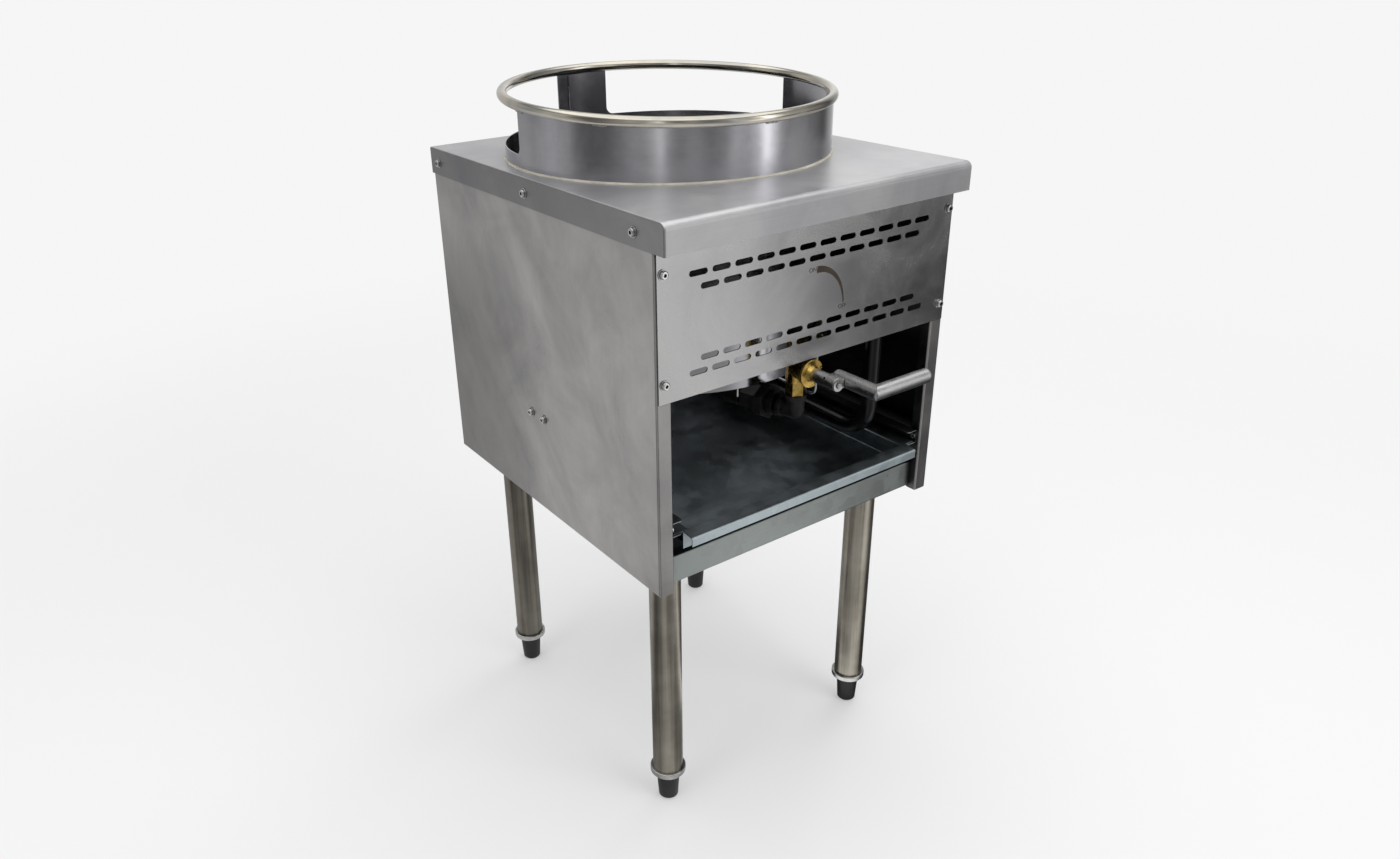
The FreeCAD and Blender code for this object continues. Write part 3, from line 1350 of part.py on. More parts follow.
def pilot_burner():
    """Pilot nozzle on a clip from the burner head."""
    x = pilot_side
    edge = -pilot_stand()
    base = pilot_tip_height - pilot_nozzle_length
    clip_low = head_bottom + head_height
    nozzle = rod(pilot_nozzle_radius, (x, edge, clip_low), (0, 0, 1), pilot_tip_height - clip_low)
    clip = box(x - pilot_clip_half, x + pilot_clip_half, edge, edge + pilot_stand_off + pilot_clip_lap,
               clip_low, clip_low + pilot_clip)
    way = rod(pilot_tube_radius + socket_gap, (x, edge, clip_low - past), (0, 0, 1),
              base + pilot_tube_lap - clip_low + past)
    core = rod(pilot_way_radius, (x, edge, base), (0, 0, 1), pilot_nozzle_length + past)
    return joined([nozzle, clip]).cut(way).cut(core)


# ---- everything ------------------------------------------------------------------
def main():
    left_side = side_panel()
    save("left_side_panel", left_side)
    save("right_side_panel", mirrored(left_side))
    save("back_panel", back_panel())
    save("front_panel", front_panel())
    save("top_cover", top_cover())
    save("front_apron", apron())
    save("rear_member", rear_member())
    save("fire_drum", fire_drum())
    save("wok_ring", wok_ring())
    save("collar_bead", collar_bead())
    save("drum_screw", drum_screw())

    save("front_panel_bolts", gathered([bolt(s, d, 2 * sheet) for s, d in front_bolt_seats()]))
    save("back_panel_bolts", gathered([
        bolt(s, d, 2 * sheet + (rail_sheet if s[2] == rail_middle else 0.0)) for s, d in back_bolt_seats()]))
    save("cover_bolts", gathered([bolt(s, d, 2 * sheet + panel_gap) for s, d in cover_bolt_seats()]))
    save("bar_bolts", gathered([bolt(s, d, sheet + bar_sheet) for s, d in bar_bolt_seats()]))
    save("casting_bolts", gathered([
        bolt((x, y, z + casting_flange), (0, 0, 1), casting_flange + bar_sheet)
        for x, y, z in casting_bolt_places()]))

    save("drip_tray", drip_tray())
    right_rail = tray_rail()
    save("right_tray_rail", right_rail)
    save("left_tray_rail", mirrored(right_rail))
    save("rail_screws", rail_screws())

    for name, x, y in leg_places():
        save("leg_" + name, leg(x, y))
        save("foot_" + name, foot(x, y))
    save("foot_sockets", gathered([foot_socket(x, y) for _, x, y in leg_places()]))
    save("leg_rails", gathered([leg_rail_piece(side) for side in (-1, 1)]))
    save("leg_studs", gathered([leg_stud(x, y) for _, x, y in leg_places()]))

    save("burner_bar", burner_bar())
    save("burner_casting", burner_casting())
    save("burner_tips", burner_tips())
    for name, piece in gas_train().items():
        save(name, piece)

    save("valve_body", valve_body())
    save("valve_plug", valve_plug())
    save("stop_disc", stop_disc())
    save("lever_sleeve", lever_sleeve())
    save("lever_nut", lever_nut())
    save("lever_rod", lever_rod())

    save("pilot_valve", pilot_valve())
    save("pilot_screw", pilot_screw())
    save("pilot_tube", pilot_tube())
    save("pilot_burner", pilot_burner())
    print("cabinet shift %.2f" % cabinet_shift)


main()
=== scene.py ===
"""Looks of a free-standing gas wok range: sheet steel, welds, threads, marks and a pale studio."""
import json
import math

import bmesh
import bpy
from bpy.props import FloatProperty, FloatVectorProperty, IntProperty, PointerProperty
from mathutils import Matrix, Vector


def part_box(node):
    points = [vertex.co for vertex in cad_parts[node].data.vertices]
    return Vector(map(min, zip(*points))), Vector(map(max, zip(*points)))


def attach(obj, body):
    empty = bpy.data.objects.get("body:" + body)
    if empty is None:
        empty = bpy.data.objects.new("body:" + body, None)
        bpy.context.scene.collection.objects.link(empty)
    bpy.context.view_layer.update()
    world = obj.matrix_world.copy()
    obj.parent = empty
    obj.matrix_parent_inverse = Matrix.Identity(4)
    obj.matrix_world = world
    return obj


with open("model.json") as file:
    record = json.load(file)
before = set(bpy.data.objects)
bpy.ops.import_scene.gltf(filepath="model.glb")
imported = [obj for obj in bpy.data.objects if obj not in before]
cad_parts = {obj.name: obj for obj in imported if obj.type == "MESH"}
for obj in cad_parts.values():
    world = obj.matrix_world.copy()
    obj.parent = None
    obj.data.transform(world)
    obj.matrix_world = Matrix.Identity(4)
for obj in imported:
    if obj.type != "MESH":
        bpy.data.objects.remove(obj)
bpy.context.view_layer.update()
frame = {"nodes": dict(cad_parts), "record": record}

bl_info = {
    "name": "Wok Range Dresser",
    "version": (1, 0, 0),
    "blender": (4, 5, 0),
    "location": "View3D > Sidebar > Wok Range",
    "description": "Dresses the packed wok range with finishes, welds, threads and marks",
    "category": "Add Mesh",
}

MM = 0.001
PICTURE_WIDTH = 1400
PICTURE_HEIGHT = 859
SENSOR_WIDTH = 36.0


def shade(name, default, description):
    """A colour setting."""
    return FloatVectorProperty(name=name, description=description, default=default, size=3,
                               min=0.0, max=1.0, subtype="COLOR")


def length(name, default, description, least=0.0):
    """A length setting in metres."""
    return FloatProperty(name=name, description=description, default=default, min=least,
                         subtype="DISTANCE", unit="LENGTH", precision=5)


# ---- settings --------------------------------------------------------------------
class FinishSettings(bpy.types.PropertyGroup):
    """Colours of the range's finishes."""
    side: shade("Side sheet", (0.55, 0.54, 0.52), "Mottled brushed steel of the sides")
    panel: shade("Front sheet", (0.45, 0.446, 0.438), "Fine satin steel of the front panel")
    cover: shade("Cover sheet", (0.66, 0.66, 0.66), "Brushed steel of the cover")
    drum: shade("Drum sheet", (0.54, 0.54, 0.555), "Steel brushed round the drum")
    ring: shade("Ring bar", (0.70, 0.675, 0.61), "Polished, slightly heat-tinted bar")
    leg: shade("Leg tube", (0.36, 0.34, 0.30), "Drawn stainless tube")
    galvanized: shade("Galvanized", (0.36, 0.385, 0.375), "Galvanized channels")
    tray: shade("Tray sheet", (0.47, 0.53, 0.555), "Galvanized tray")
    plated: shade("Plated steel", (0.62, 0.62, 0.61), "Zinc-plated screws and foot sockets")
    lever: shade("Lever", (0.64, 0.64, 0.635), "Plated lever, worn by hands")
    pilot: shade("Pilot tube", (0.50, 0.50, 0.51), "Drawn aluminium tube")
    pipe: shade("Gas pipe", (0.002, 0.002, 0.003), "Black lacquer of the pipes")
    bar: shade("Burner bar", (0.014, 0.014, 0.014), "Black heat-proof paint")
    iron: shade("Malleable iron", (0.010, 0.010, 0.010), "Black cast fittings")
    brass: shade("Brass", (0.80, 0.56, 0.16), "Turned brass of the valve")
    charcoal: shade("Foot plastic", (0.007, 0.007, 0.007), "Charcoal foot")
    sealant: shade("Sealant", (0.52, 0.49, 0.41), "Bead round the drum")
    mark: shade("Printed mark", (0.034, 0.023, 0.013), "Print on the front panel")


class MarkSettings(bpy.types.PropertyGroup):
    """Sizes of the printed quarter arc and its two words."""
    arc_across: length("Arc across", 45.4 * MM, "Reach of the arc to the right")
    arc_rise: length("Arc rise", 52.2 * MM, "Rise of the arc above its centre")
    arc_height: length("Arc centre height", 697.9 * MM, "Arc centre above the floor")
    wide_end: length("Wide end", 8.4 * MM, "Width of the arc at its open end")
    narrow_end: length("Narrow end", 1.6 * MM, "Width of the arc at its closed end")
    letter: length("Letter height", 5.2 * MM, "Height of the capital letters")
    print_thickness: length("Print thickness", 0.15 * MM, "Print above the sheet")
    steps: IntProperty(name="Arc steps", description="Stretches along the arc", default=40, min=8)


class WeldSettings(bpy.types.PropertyGroup):
    """Sizes of the weld beads."""
    ripple: length("Ripple", 1.1 * MM, "Distance from one ripple to the next")
    lever_bead: length("Lever bead", 2.3 * MM, "Radius of the beads between rod and sleeve")
    tack: length("Ring tack", 1.6 * MM, "Radius of the tacks under the ring")
    seam: length("Seam bead", 0.7 * MM, "Radius of the bead on the drum's seam")
    mitre: length("Mitre bead", 0.45 * MM, "Radius of the bead between rod and arm")
    unevenness: FloatProperty(name="Unevenness", description="Spread of the ripples' sizes", default=0.22,
                              min=0.0, max=0.9)
    seed: IntProperty(name="Seed", description="Start of the random ripple sizes", default=7, min=0)


class ThreadSettings(bpy.types.PropertyGroup):
    """Sizes of the screw threads that show."""
    pipe_pitch: length("Pipe thread pitch", 1.8 * MM, "Distance between the ridges of a pipe thread")
    ridge: length("Ridge", 0.45 * MM, "Radius of a ridge")
    thread_length: length("Thread length", 16.0 * MM, "Thread on the end of the gas inlet")


class StudioSettings(bpy.types.PropertyGroup):
    """Camera and light."""
    place_x: length("Camera X", -0.826402, "Camera to the right of the origin", least=-100.0)
    place_y: length("Camera Y", -1.081120, "Camera behind the origin", least=-100.0)
    place_z: length("Camera Z", 1.105294, "Camera above the floor")
    turn: FloatProperty(name="Turn", description="Camera's turn to the right of straight ahead",
                        default=0.598740, subtype="ANGLE")
    tilt: FloatProperty(name="Tilt", description="Camera's rise above the horizon",
                        default=-0.438205, subtype="ANGLE")
    roll: FloatProperty(name="Roll", description="Camera's roll", default=-0.026937, subtype="ANGLE")
    focal_pixels: FloatProperty(name="Focal length", description="Focal length in pixels of the picture",
                                default=1053.781)
    centre_x: FloatProperty(name="Centre X", description="Principal point in pixels", default=642.345)
    centre_y: FloatProperty(name="Centre Y", description="Principal point in pixels", default=422.162)
    backdrop: shade("Backdrop", (0.92, 0.92, 0.92), "Pale backdrop")
    floor: shade("Floor", (0.80, 0.80, 0.80), "Pale floor round the range")
    floor_lift: FloatProperty(name="Floor lift", description="White added to the floor by the range",
                              default=0.35, min=0.0, max=1.0)
    soft: shade("Soft light", (0.62, 0.62, 0.63), "Even light on matt surfaces")


def settings():
    """The scene's settings."""
    return bpy.context.scene.wok_range


def colours():
    """The finishes' colours."""
    return settings().finish


class WokRangeSettings(bpy.types.PropertyGroup):
    """All settings of the range."""
    finish: PointerProperty(type=FinishSettings, name="Finishes", description="Colours")
    mark: PointerProperty(type=MarkSettings, name="Marks", description="Printed marks")
    weld: PointerProperty(type=WeldSettings, name="Welds", description="Weld beads")
    thread: PointerProperty(type=ThreadSettings, name="Threads", description="Screw threads")
    studio: PointerProperty(type=StudioSettings, name="Studio", description="Camera and light")


# ---- shader building -------------------------------------------------------------
COLOUR_A, COLOUR_B, COLOUR_MIXED = 6, 7, 2  # the colour sockets of a mix node


def fill(tree, node, inputs):
    """Link sockets to a node's inputs, or set the inputs' plain values."""
    for name, value in inputs.items():
        if isinstance(value, bpy.types.NodeSocket):
            tree.links.new(value, node.inputs[name])
        else:
            node.inputs[name].default_value = value


def put(tree, kind, inputs=None, **traits):
    """A new node with its traits set and its inputs filled."""
    node = tree.nodes.new(kind)
    for name, value in traits.items():
        setattr(node, name, value)
    fill(tree, node, inputs or {})
    return node


class Finish:
    """A material and short ways to add to its node tree."""

    def __init__(self, name):
        self.material = bpy.data.materials.new(name)
        self.material.use_nodes = True
        self.tree = self.material.node_tree
        self.tree.nodes.clear()
        self.surface = self.put("ShaderNodeBsdfPrincipled")
        self.output = self.put("ShaderNodeOutputMaterial", {"Surface": self.surface.outputs["BSDF"]})

    def put(self, kind, inputs=None, **traits):
        """A new node of this finish."""
        return put(self.tree, kind, inputs, **traits)

    def dress(self, inputs):
        """Fill inputs of the surface."""
        fill(self.tree, self.surface, inputs)

    def metal(self, body, gloss):
        """Dress the surface as bare metal."""
        self.dress({"Base Color": body, "Metallic": 1.0, "Roughness": gloss})

    def place(self, stretch=(1.0, 1.0, 1.0), turn=(0.0, 0.0, 0.0)):
        """Object coordinates, turned and then stretched."""
        where = self.put("ShaderNodeTexCoord").outputs["Object"]
        turned = self.put("ShaderNodeMapping", {"Vector": where, "Rotation": turn}).outputs["Vector"]
        return self.put("ShaderNodeMapping", {"Vector": turned, "Scale": stretch}).outputs["Vector"]

    def noise(self, where, scale, detail=3.0, roughness=0.5, distortion=0.0):
        """Noise from 0 to 1."""
        values = {"Vector": where, "Scale": scale, "Detail": detail, "Roughness": roughness,
                  "Distortion": distortion}
        return self.put("ShaderNodeTexNoise", values).outputs["Fac"]

    def cells(self, where, scale):
        """A random tone for each cell."""
        cell = self.put("ShaderNodeTexVoronoi", {"Vector": where, "Scale": scale})
        return self.put("ShaderNodeSeparateColor", {"Color": cell.outputs["Color"]}).outputs["Red"]

    def spread(self, value, low, high, start=0.0, end=1.0):
        """Move a value from one span to another, held inside it."""
        return self.put("ShaderNodeMapRange", {"Value": value, "From Min": low, "From Max": high,
                                               "To Min": start, "To Max": end},
                        interpolation_type="SMOOTHSTEP").outputs["Result"]

    def sum(self, *values):
        """Values added up."""
        total = values[0]
        for value in values[1:]:
            total = self.pair("ADD", total, value)
        return total

    def times(self, value, share):
        """A value taken a number of times."""
        return self.pair("MULTIPLY", value, share)

    def pair(self, kind, first, second):
        """Two values put together."""
        return self.put("ShaderNodeMath", {0: first, 1: second}, operation=kind).outputs[0]

    def blend(self, share, first, second):
        """Two colours mixed by a share."""
        first, second = (colour if isinstance(colour, bpy.types.NodeSocket) else (*colour, 1.0)
                         for colour in (first, second))
        return self.put("ShaderNodeMix", {"Factor": share, COLOUR_A: first, COLOUR_B: second},
                        data_type="RGBA").outputs[COLOUR_MIXED]

    def along(self, axis):
        """The object's own coordinate along one axis."""
        return self.put("ShaderNodeSeparateXYZ", {"Vector": self.place()}).outputs[axis]

    def facing(self, axis):
        """How far the surface faces along one of the object's own axes."""
        normal = self.put("ShaderNodeTexCoord").outputs["Normal"]
        return self.put("ShaderNodeSeparateXYZ", {"Vector": normal}).outputs[axis]

    def shelter(self, reach, low, high, darkest):
        """Painted shade: 1 in the open and darker where other surfaces stand close."""
        near = self.put("ShaderNodeAmbientOcclusion", {"Distance": reach}, samples=8)
        return self.spread(near.outputs["AO"], low, high, darkest, 1.0)

    def dimmed(self, colour, share):
        """A colour taken down by a share, to paint shade on it."""
        return self.blend(share, (0.0, 0.0, 0.0), colour)

    def emission(self, colour):
        """A plain glow of a colour."""
        return self.put("ShaderNodeEmission", {"Color": colour}).outputs["Emission"]

    def fade(self, share, first, second):
        """Two shaders mixed by a share."""
        return self.put("ShaderNodeMixShader", {0: share, 1: first, 2: second}).outputs[0]

    def relief(self, height, depth, strength=1.0):
        """Bump from a height, on the surface."""
        bump = self.put("ShaderNodeBump", {"Strength": strength, "Distance": depth, "Height": height})
        self.dress({"Normal": bump.outputs["Normal"]})

    def worn_edges(self, radius, low, high):
        """1 on convex edges and 0 on flat stretches."""
        rounded = self.put("ShaderNodeBevel", {"Radius": radius}, samples=4).outputs["Normal"]
        plain = self.put("ShaderNodeNewGeometry").outputs["Normal"]
        alike = self.put("ShaderNodeVectorMath", {0: rounded, 1: plain}, operation="DOT_PRODUCT")
        return self.spread(alike.outputs["Value"], high, low)


# Each side of the room that reflections see: degrees round the range, and brightness.
ROOM_SIDES = ((-180, 0.12), (-168, 0.15), (-158, 0.25), (-149, 0.38), (-141, 0.33), (-136, 0.50),
              (-131, 1.00), (-126, 0.30), (-119, 0.17), (-110, 0.30), (-98, 0.18), (-89, 0.28), (-81, 0.60),
              (-71, 0.48), (-64, 0.75), (-57, 2.20), (-51, 1.15), (-44, 0.42), (-36, 0.36), (-24, 0.30),
              (-12, 0.20), (5, 0.10), (22, 0.40), (42, 0.84), (66, 0.60), (90, 0.45), (120, 0.42),
              (132, 0.34), (150, 0.48), (162, 0.42), (172, 0.17), (180, 0.12))
# The same for the floor near the range.
FLOOR_SIDES = ((-180, 0.14), (-150, 0.30), (-131, 0.60), (-110, 0.30), (-89, 0.35), (-75, 0.70), (-63, 1.15),
               (-54, 0.90), (-48, 0.32), (-43, 0.08), (-36, 0.04), (-15, 0.10), (5, 0.12), (42, 0.50),
               (90, 0.42), (112, 0.46), (124, 0.54), (147, 0.60), (165, 0.34), (180, 0.14))
ROOM_PEAK = 2.20
ROOM_TOP = (0.46, 0.58)  # rise of the view over which the sides give way to what is higher up
FLOOR_BLEND = (3.2, 4.4)  # metres over which the floor's own sides give way to the room's
FLOOR_FADE = (0.5, 2.6)  # metres over which the floor turns white for the camera
# The room higher up: rise of the view, and brightness.
ROOM_RISE = ((0.0, 0.30), (0.50, 0.34), (0.58, 0.24), (0.66, 0.36), (0.76, 1.30), (1.0, 1.05))


def tone_ramp(tree, value, stops):
    """Greys that change smoothly along a value."""
    ramp = put(tree, "ShaderNodeValToRGB", {"Fac": value})
    ramp.color_ramp.interpolation = "EASE"
    elements = ramp.color_ramp.elements
    for place, _ in stops[1:-1]:
        elements.new(place)
    for element, (place, tone) in zip(elements, stops):
        element.position = place
        element.color = (tone, tone, tone, 1.0)
    return ramp.outputs["Color"]


def room_tone(tree, where, sides=ROOM_SIDES):
    """Light and dark sides of the room by the direction round the range."""
    split = put(tree, "ShaderNodeSeparateXYZ", {"Vector": where})
    turn = put(tree, "ShaderNodeMath", {0: split.outputs["Y"], 1: split.outputs["X"]}, operation="ARCTAN2")
    share = put(tree, "ShaderNodeMapRange", {"Value": turn.outputs[0], "From Min": -math.pi,
                                             "From Max": math.pi})
    stops = [((degrees + 180) / 360, tone / ROOM_PEAK) for degrees, tone in sides]
    ramp = tone_ramp(tree, share.outputs["Result"], stops)
    lifted = put(tree, "ShaderNodeVectorMath", {0: ramp, "Scale": ROOM_PEAK}, operation="SCALE")
    return lifted.outputs["Vector"]


def tinted(colour, share):
    """A colour made darker or lighter."""
    return tuple(min(1.0, c * share) for c in colour)


# Stretches of the noise that makes brush lines.
LINES_ALONG_X = (4.0, 1300.0, 1300.0)
LINES_ALONG_Z = (800.0, 800.0, 4.0)
LINES_LEVEL = (4.0, 4.0, 1600.0)
LINES_SATIN = (500.0, 500.0, 900.0)
QUARTER_TURN = 0.25  # of the brushed highlight, in turns


def brushed_sheet(name, colour, lines, mottle, smear, rough, grain_share, anisotropy=0.0, painted_shades=(), metal=1.0):
    """Brushed stainless: fine lines, a slow mottle, faint slanting smears, and painted shade that darkens
    some parts.
    """
    finish = Finish(name)
    grain = finish.noise(finish.place(lines), 1.0, 4.0, 0.6)
    cloud = finish.noise(finish.place(), 8.5, 7.0, 0.66, 0.6)
    wipe = finish.noise(finish.place((9.0, 9.0, 2.4), (0.62, 0.0, 0.0)), 1.0, 3.0, 0.6, 0.4)
    whole = mottle + smear + grain_share
    tone = finish.sum(finish.times(cloud, mottle), finish.times(wipe, smear),
                      finish.times(grain, grain_share))
    red, green, blue = tinted(colour, 1 - 0.13 * (1 + mottle))
    body = finish.blend(finish.spread(tone, 0.32 * whole, 0.68 * whole), (red, green * 0.985, blue * 1.04),
                        tinted(colour, 1.08 + 0.06 * mottle))
    # painted shade: each given share darkens the sheet where it lies in shade
    for painted_shade in painted_shades:
        body = finish.dimmed(body, painted_shade(finish))
    gloss = finish.spread(finish.sum(cloud, finish.times(grain, 0.4)), 0.5, 0.9, rough - 0.04, rough + 0.05)
    finish.dress({"Base Color": body, "Metallic": metal, "Roughness": gloss, "Anisotropic": anisotropy,
                  "Anisotropic Rotation": QUARTER_TURN})
    finish.relief(grain, 0.01 * MM, 0.25)
    return finish.material


def side_sheet():
    """Mottled side sheets with painted shade on the front flange and inside, and painted light and shade from
    the top front to the low rear.
    """
    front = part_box("left_side_panel")[0].y

    # painted shade: the front flange is darker
    def flange(finish):
        return finish.spread(finish.along("Y"), front + 0.2 * MM, front + 1.2 * MM, 0.62, 1.0)

    # painted light and shade: lighter high at the front, darker low at the rear
    def low_rear(finish):
        rear = finish.spread(finish.along("Y"), -0.14, 0.27)
        low = finish.spread(finish.along("Z"), 0.86, 0.58)
        return finish.spread(finish.times(rear, low), 0.0, 1.0, 1.12, 0.56)

    # painted shade: darker inside where other sheets stand close
    def inside(finish):
        return finish.shelter(0.30, 0.45, 0.90, 0.10)

    return brushed_sheet("side_sheet", colours().side, LINES_ALONG_Z, mottle=1.4, smear=1.2,
                         rough=0.31, grain_share=0.30, painted_shades=(flange, low_rear, inside))


def front_sheet():
    """Fine satin front panel, with painted shade darkening it towards the right."""
    # painted shade: darker towards the right end
    def right_end(finish):
        return finish.spread(finish.along("X"), -0.12, 0.12, 1.0, 0.82)

    return brushed_sheet("front_sheet", colours().panel, LINES_SATIN, mottle=0.5, smear=0.15,
                         rough=0.23, grain_share=0.25, painted_shades=(right_end,))


def cover_sheet():
    """Cover, brushed from side to side, with painted shade on its flanges and lip and towards the rear."""
    front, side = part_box("top_cover")[0].y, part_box("top_cover")[1].x

    # painted shade: the side flanges are darker
    def side_flange(finish):
        out = finish.pair("ABSOLUTE", finish.along("X"), 0.0)
        return finish.spread(out, side - 1.5 * MM, side - 0.5 * MM, 1.0, 0.44)

    # painted shade: the front lip is darker
    def front_lip(finish):
        return finish.spread(finish.along("Y"), front + 0.4 * MM, front + 1.4 * MM, 0.68, 1.0)

    # painted shade: darker towards the rear
    def behind(finish):
        return finish.spread(finish.along("Y"), -0.20, -0.05, 1.0, 0.86)

    return brushed_sheet("cover_sheet", colours().cover, LINES_ALONG_X, mottle=0.5, smear=0.25,
                         rough=0.33, grain_share=0.12, painted_shades=(side_flange, front_lip, behind), metal=0.8)


def drum_sheet():
    """Drum, brushed round its girth."""
    return brushed_sheet("drum_sheet", colours().drum, LINES_LEVEL, mottle=0.5, smear=0.2,
                         rough=0.20, grain_share=0.08, anisotropy=0.85)


def ring_bar():
    """Polished ring bar with a faint heat tint."""
    finish = Finish("ring_bar")
    red, green, blue = colour = colours().ring
    patches = finish.noise(finish.place(), 14.0, 3.0, 0.5, 0.3)
    lines = finish.noise(finish.place((60.0, 60.0, 900.0)), 1.0, 3.0)
    warm = finish.blend(finish.spread(patches, 0.35, 0.7), tinted(colour, 0.82),
                        (red * 1.15, green * 1.11, blue * 1.03))
    finish.metal(warm, finish.spread(finish.sum(patches, lines), 0.6, 1.4, 0.08, 0.18))
    finish.relief(lines, 0.02 * MM, 0.25)
    return finish.material


def leg_tube():
    """Drawn tube: brown-grey steel with long upright streaks, and painted shade on the rear legs."""
    finish = Finish("leg_tube")
    red, green, blue = colours().leg
    streaks = finish.noise(finish.place((95.0, 95.0, 1.6)), 1.0, 5.0, 0.65, 0.4)
    patches = finish.noise(finish.place(), 16.0, 3.0, 0.6)
    worn = finish.spread(finish.sum(streaks, finish.times(patches, 0.5)), 0.5, 1.0)
    body = finish.blend(worn, (red * 0.62, green * 0.60, blue * 0.56),
                        (red * 1.45, green * 1.44, blue * 1.40))
    # painted shade: the rear legs are darker
    body = finish.dimmed(body, finish.spread(finish.along("Y"), -0.12, 0.15, 1.0, 0.60))
    finish.metal(body, finish.spread(streaks, 0.3, 0.7, 0.24, 0.44))
    finish.relief(streaks, 0.03 * MM, 0.4)
    return finish.material


def plated(name, colour, rough, scratches, shade_reach=2.5 * MM, painted_shades=()):
    """Bright plated steel with fine scratches, and painted shade in its crevices."""
    finish = Finish(name)
    scuff = finish.noise(finish.place((900.0, 260.0, 520.0), (0.3, 0.5, 0.2)), 1.0, 5.0, 0.7, 1.2)
    dull = finish.noise(finish.place(), 70.0, 3.0, 0.6)
    body = finish.blend(finish.spread(finish.sum(finish.times(scuff, scratches), dull), 0.4, 1.1),
                        tinted(colour, 0.72), tinted(colour, 1.15))
    # painted shade: darker in crevices and where other surfaces stand close
    body = finish.dimmed(body, finish.shelter(shade_reach, 0.35, 0.95, 0.08))
    for painted_shade in painted_shades:
        body = finish.dimmed(body, painted_shade(finish))
    gloss = finish.spread(finish.sum(scuff, dull), 0.7, 1.3, rough - 0.08, rough + 0.14)
    finish.metal(body, gloss)
    finish.relief(scuff, 0.04 * MM, 0.35 * scratches)
    return finish.material


def zinc_screw():
    """Bright screws, nuts and washers."""
    return plated("zinc_screw", tinted(colours().plated, 1.15), rough=0.16, scratches=0.5,
                  shade_reach=4.0 * MM)


def worn_lever():
    """Plated lever with hand wear, and painted shade underneath."""
    # painted shade: darker where the surface faces down
    def underside(finish):
        return finish.spread(finish.facing("Z"), -0.45, 0.70, 0.20, 1.0)

    return plated("worn_lever", colours().lever, rough=0.30, scratches=2.2, painted_shades=(underside,))


def bright_socket():
    """Bright foot sockets."""
    return plated("bright_socket", tinted(colours().plated, 1.1), rough=0.18, scratches=0.3)


def drawn_aluminium():
    """Thin drawn tube of the pilot."""
    return plated("drawn_aluminium", colours().pilot, rough=0.30, scratches=0.5)


def zinc_spangle(name, colour, rough, darkest, painted_shades=()):
    """Galvanized sheet: soft crystals and a slow blue-grey mottle, with painted shade under cover."""
    finish = Finish(name)
    crystals = finish.cells(finish.place((1.0, 1.0, 1.0), (0.4, 0.3, 0.2)), 55.0)
    cloud = finish.noise(finish.place(), 9.0, 4.0, 0.6, 0.5)
    lines = finish.noise(finish.place((3.0, 500.0, 500.0)), 1.0, 3.0)
    tone = finish.sum(finish.times(crystals, 0.22), cloud, finish.times(lines, 0.25))
    red, green, blue = colour
    body = finish.blend(finish.spread(tone, 0.45, 1.0), tinted(colour, 0.80),
                        (red * 1.16, green * 1.18, blue * 1.18))
    # painted shade: darker where other surfaces stand close
    body = finish.dimmed(body, finish.shelter(0.30, 0.30, 0.85, darkest))
    for painted_shade in painted_shades:
        body = finish.dimmed(body, painted_shade(finish))
    finish.metal(body, finish.spread(tone, 0.45, 1.0, rough - 0.05, rough + 0.10))
    finish.relief(lines, 0.02 * MM, 0.3)
    return finish.material


def galvanized_channel():
    """Apron, rails and leg rails."""
    return zinc_spangle("galvanized_channel", colours().galvanized, rough=0.40, darkest=0.12)


def tray_sheet():
    """Drip tray, with painted shade behind its lip."""
    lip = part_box("drip_tray")[0].y

    # painted shade: darker behind the lip
    def pan(finish):
        return finish.spread(finish.along("Y"), lip + 4.9 * MM, lip + 23.4 * MM, 1.0, 0.80)

    return zinc_spangle("tray_sheet", colours().tray, rough=0.34, darkest=0.66, painted_shades=(pan,))


def rough_iron(name, colour, grit, rough):
    """Black cast iron with a sandy skin, grey rubbed edges and painted shade in its hollows."""
    finish = Finish(name)
    sand = finish.noise(finish.place(), grit, 5.0, 0.7)
    patches = finish.noise(finish.place(), 40.0, 3.0, 0.6)
    skin = finish.blend(finish.spread(patches, 0.3, 0.75), tinted(colour, 0.6), tinted(colour, 2.2))
    rubbed = finish.times(finish.worn_edges(1.2 * MM, 0.80, 0.995), finish.spread(sand, 0.4, 0.7))
    body = finish.blend(rubbed, skin, (0.12, 0.12, 0.12))
    # painted shade: darker where other surfaces stand close
    body = finish.dimmed(body, finish.shelter(0.15, 0.2, 0.9, 0.15))
    finish.dress({"Base Color": body, "Specular IOR Level": 0.15,
                  "Roughness": finish.spread(sand, 0.3, 0.7, rough - 0.08, rough + 0.12)})
    finish.relief(sand, 0.18 * MM, 0.55)
    return finish.material


def malleable_fitting():
    """Elbows, union and couplings."""
    return rough_iron("malleable_fitting", colours().iron, grit=900.0, rough=0.46)


def burner_iron():
    """Burner casting."""
    return rough_iron("burner_iron", tinted(colours().iron, 1.6), grit=600.0, rough=0.66)


def lacquered(name, colour, rough):
    """Black lacquered steel, with painted shade where other surfaces stand close."""
    finish = Finish(name)
    orange_peel = finish.noise(finish.place(), 260.0, 2.0, 0.5)
    dust = finish.noise(finish.place(), 28.0, 4.0, 0.6)
    body = finish.blend(finish.spread(dust, 0.45, 0.8), colour, (0.006, 0.006, 0.008))
    # painted shade: darker where other surfaces stand close
    body = finish.dimmed(body, finish.shelter(0.20, 0.3, 0.9, 0.2))
    finish.dress({"Base Color": body, "Specular IOR Level": 0.30,
                  "Roughness": finish.spread(dust, 0.3, 0.75, rough - 0.06, rough + 0.12)})
    finish.relief(orange_peel, 0.06 * MM, 0.4)
    return finish.material


def lacquered_pipe():
    """Glossy black gas pipe."""
    return lacquered("lacquered_pipe", colours().pipe, rough=0.18)


def black_bar():
    """Burner bar in black heat-proof paint."""
    return lacquered("black_bar", colours().bar, rough=0.55)


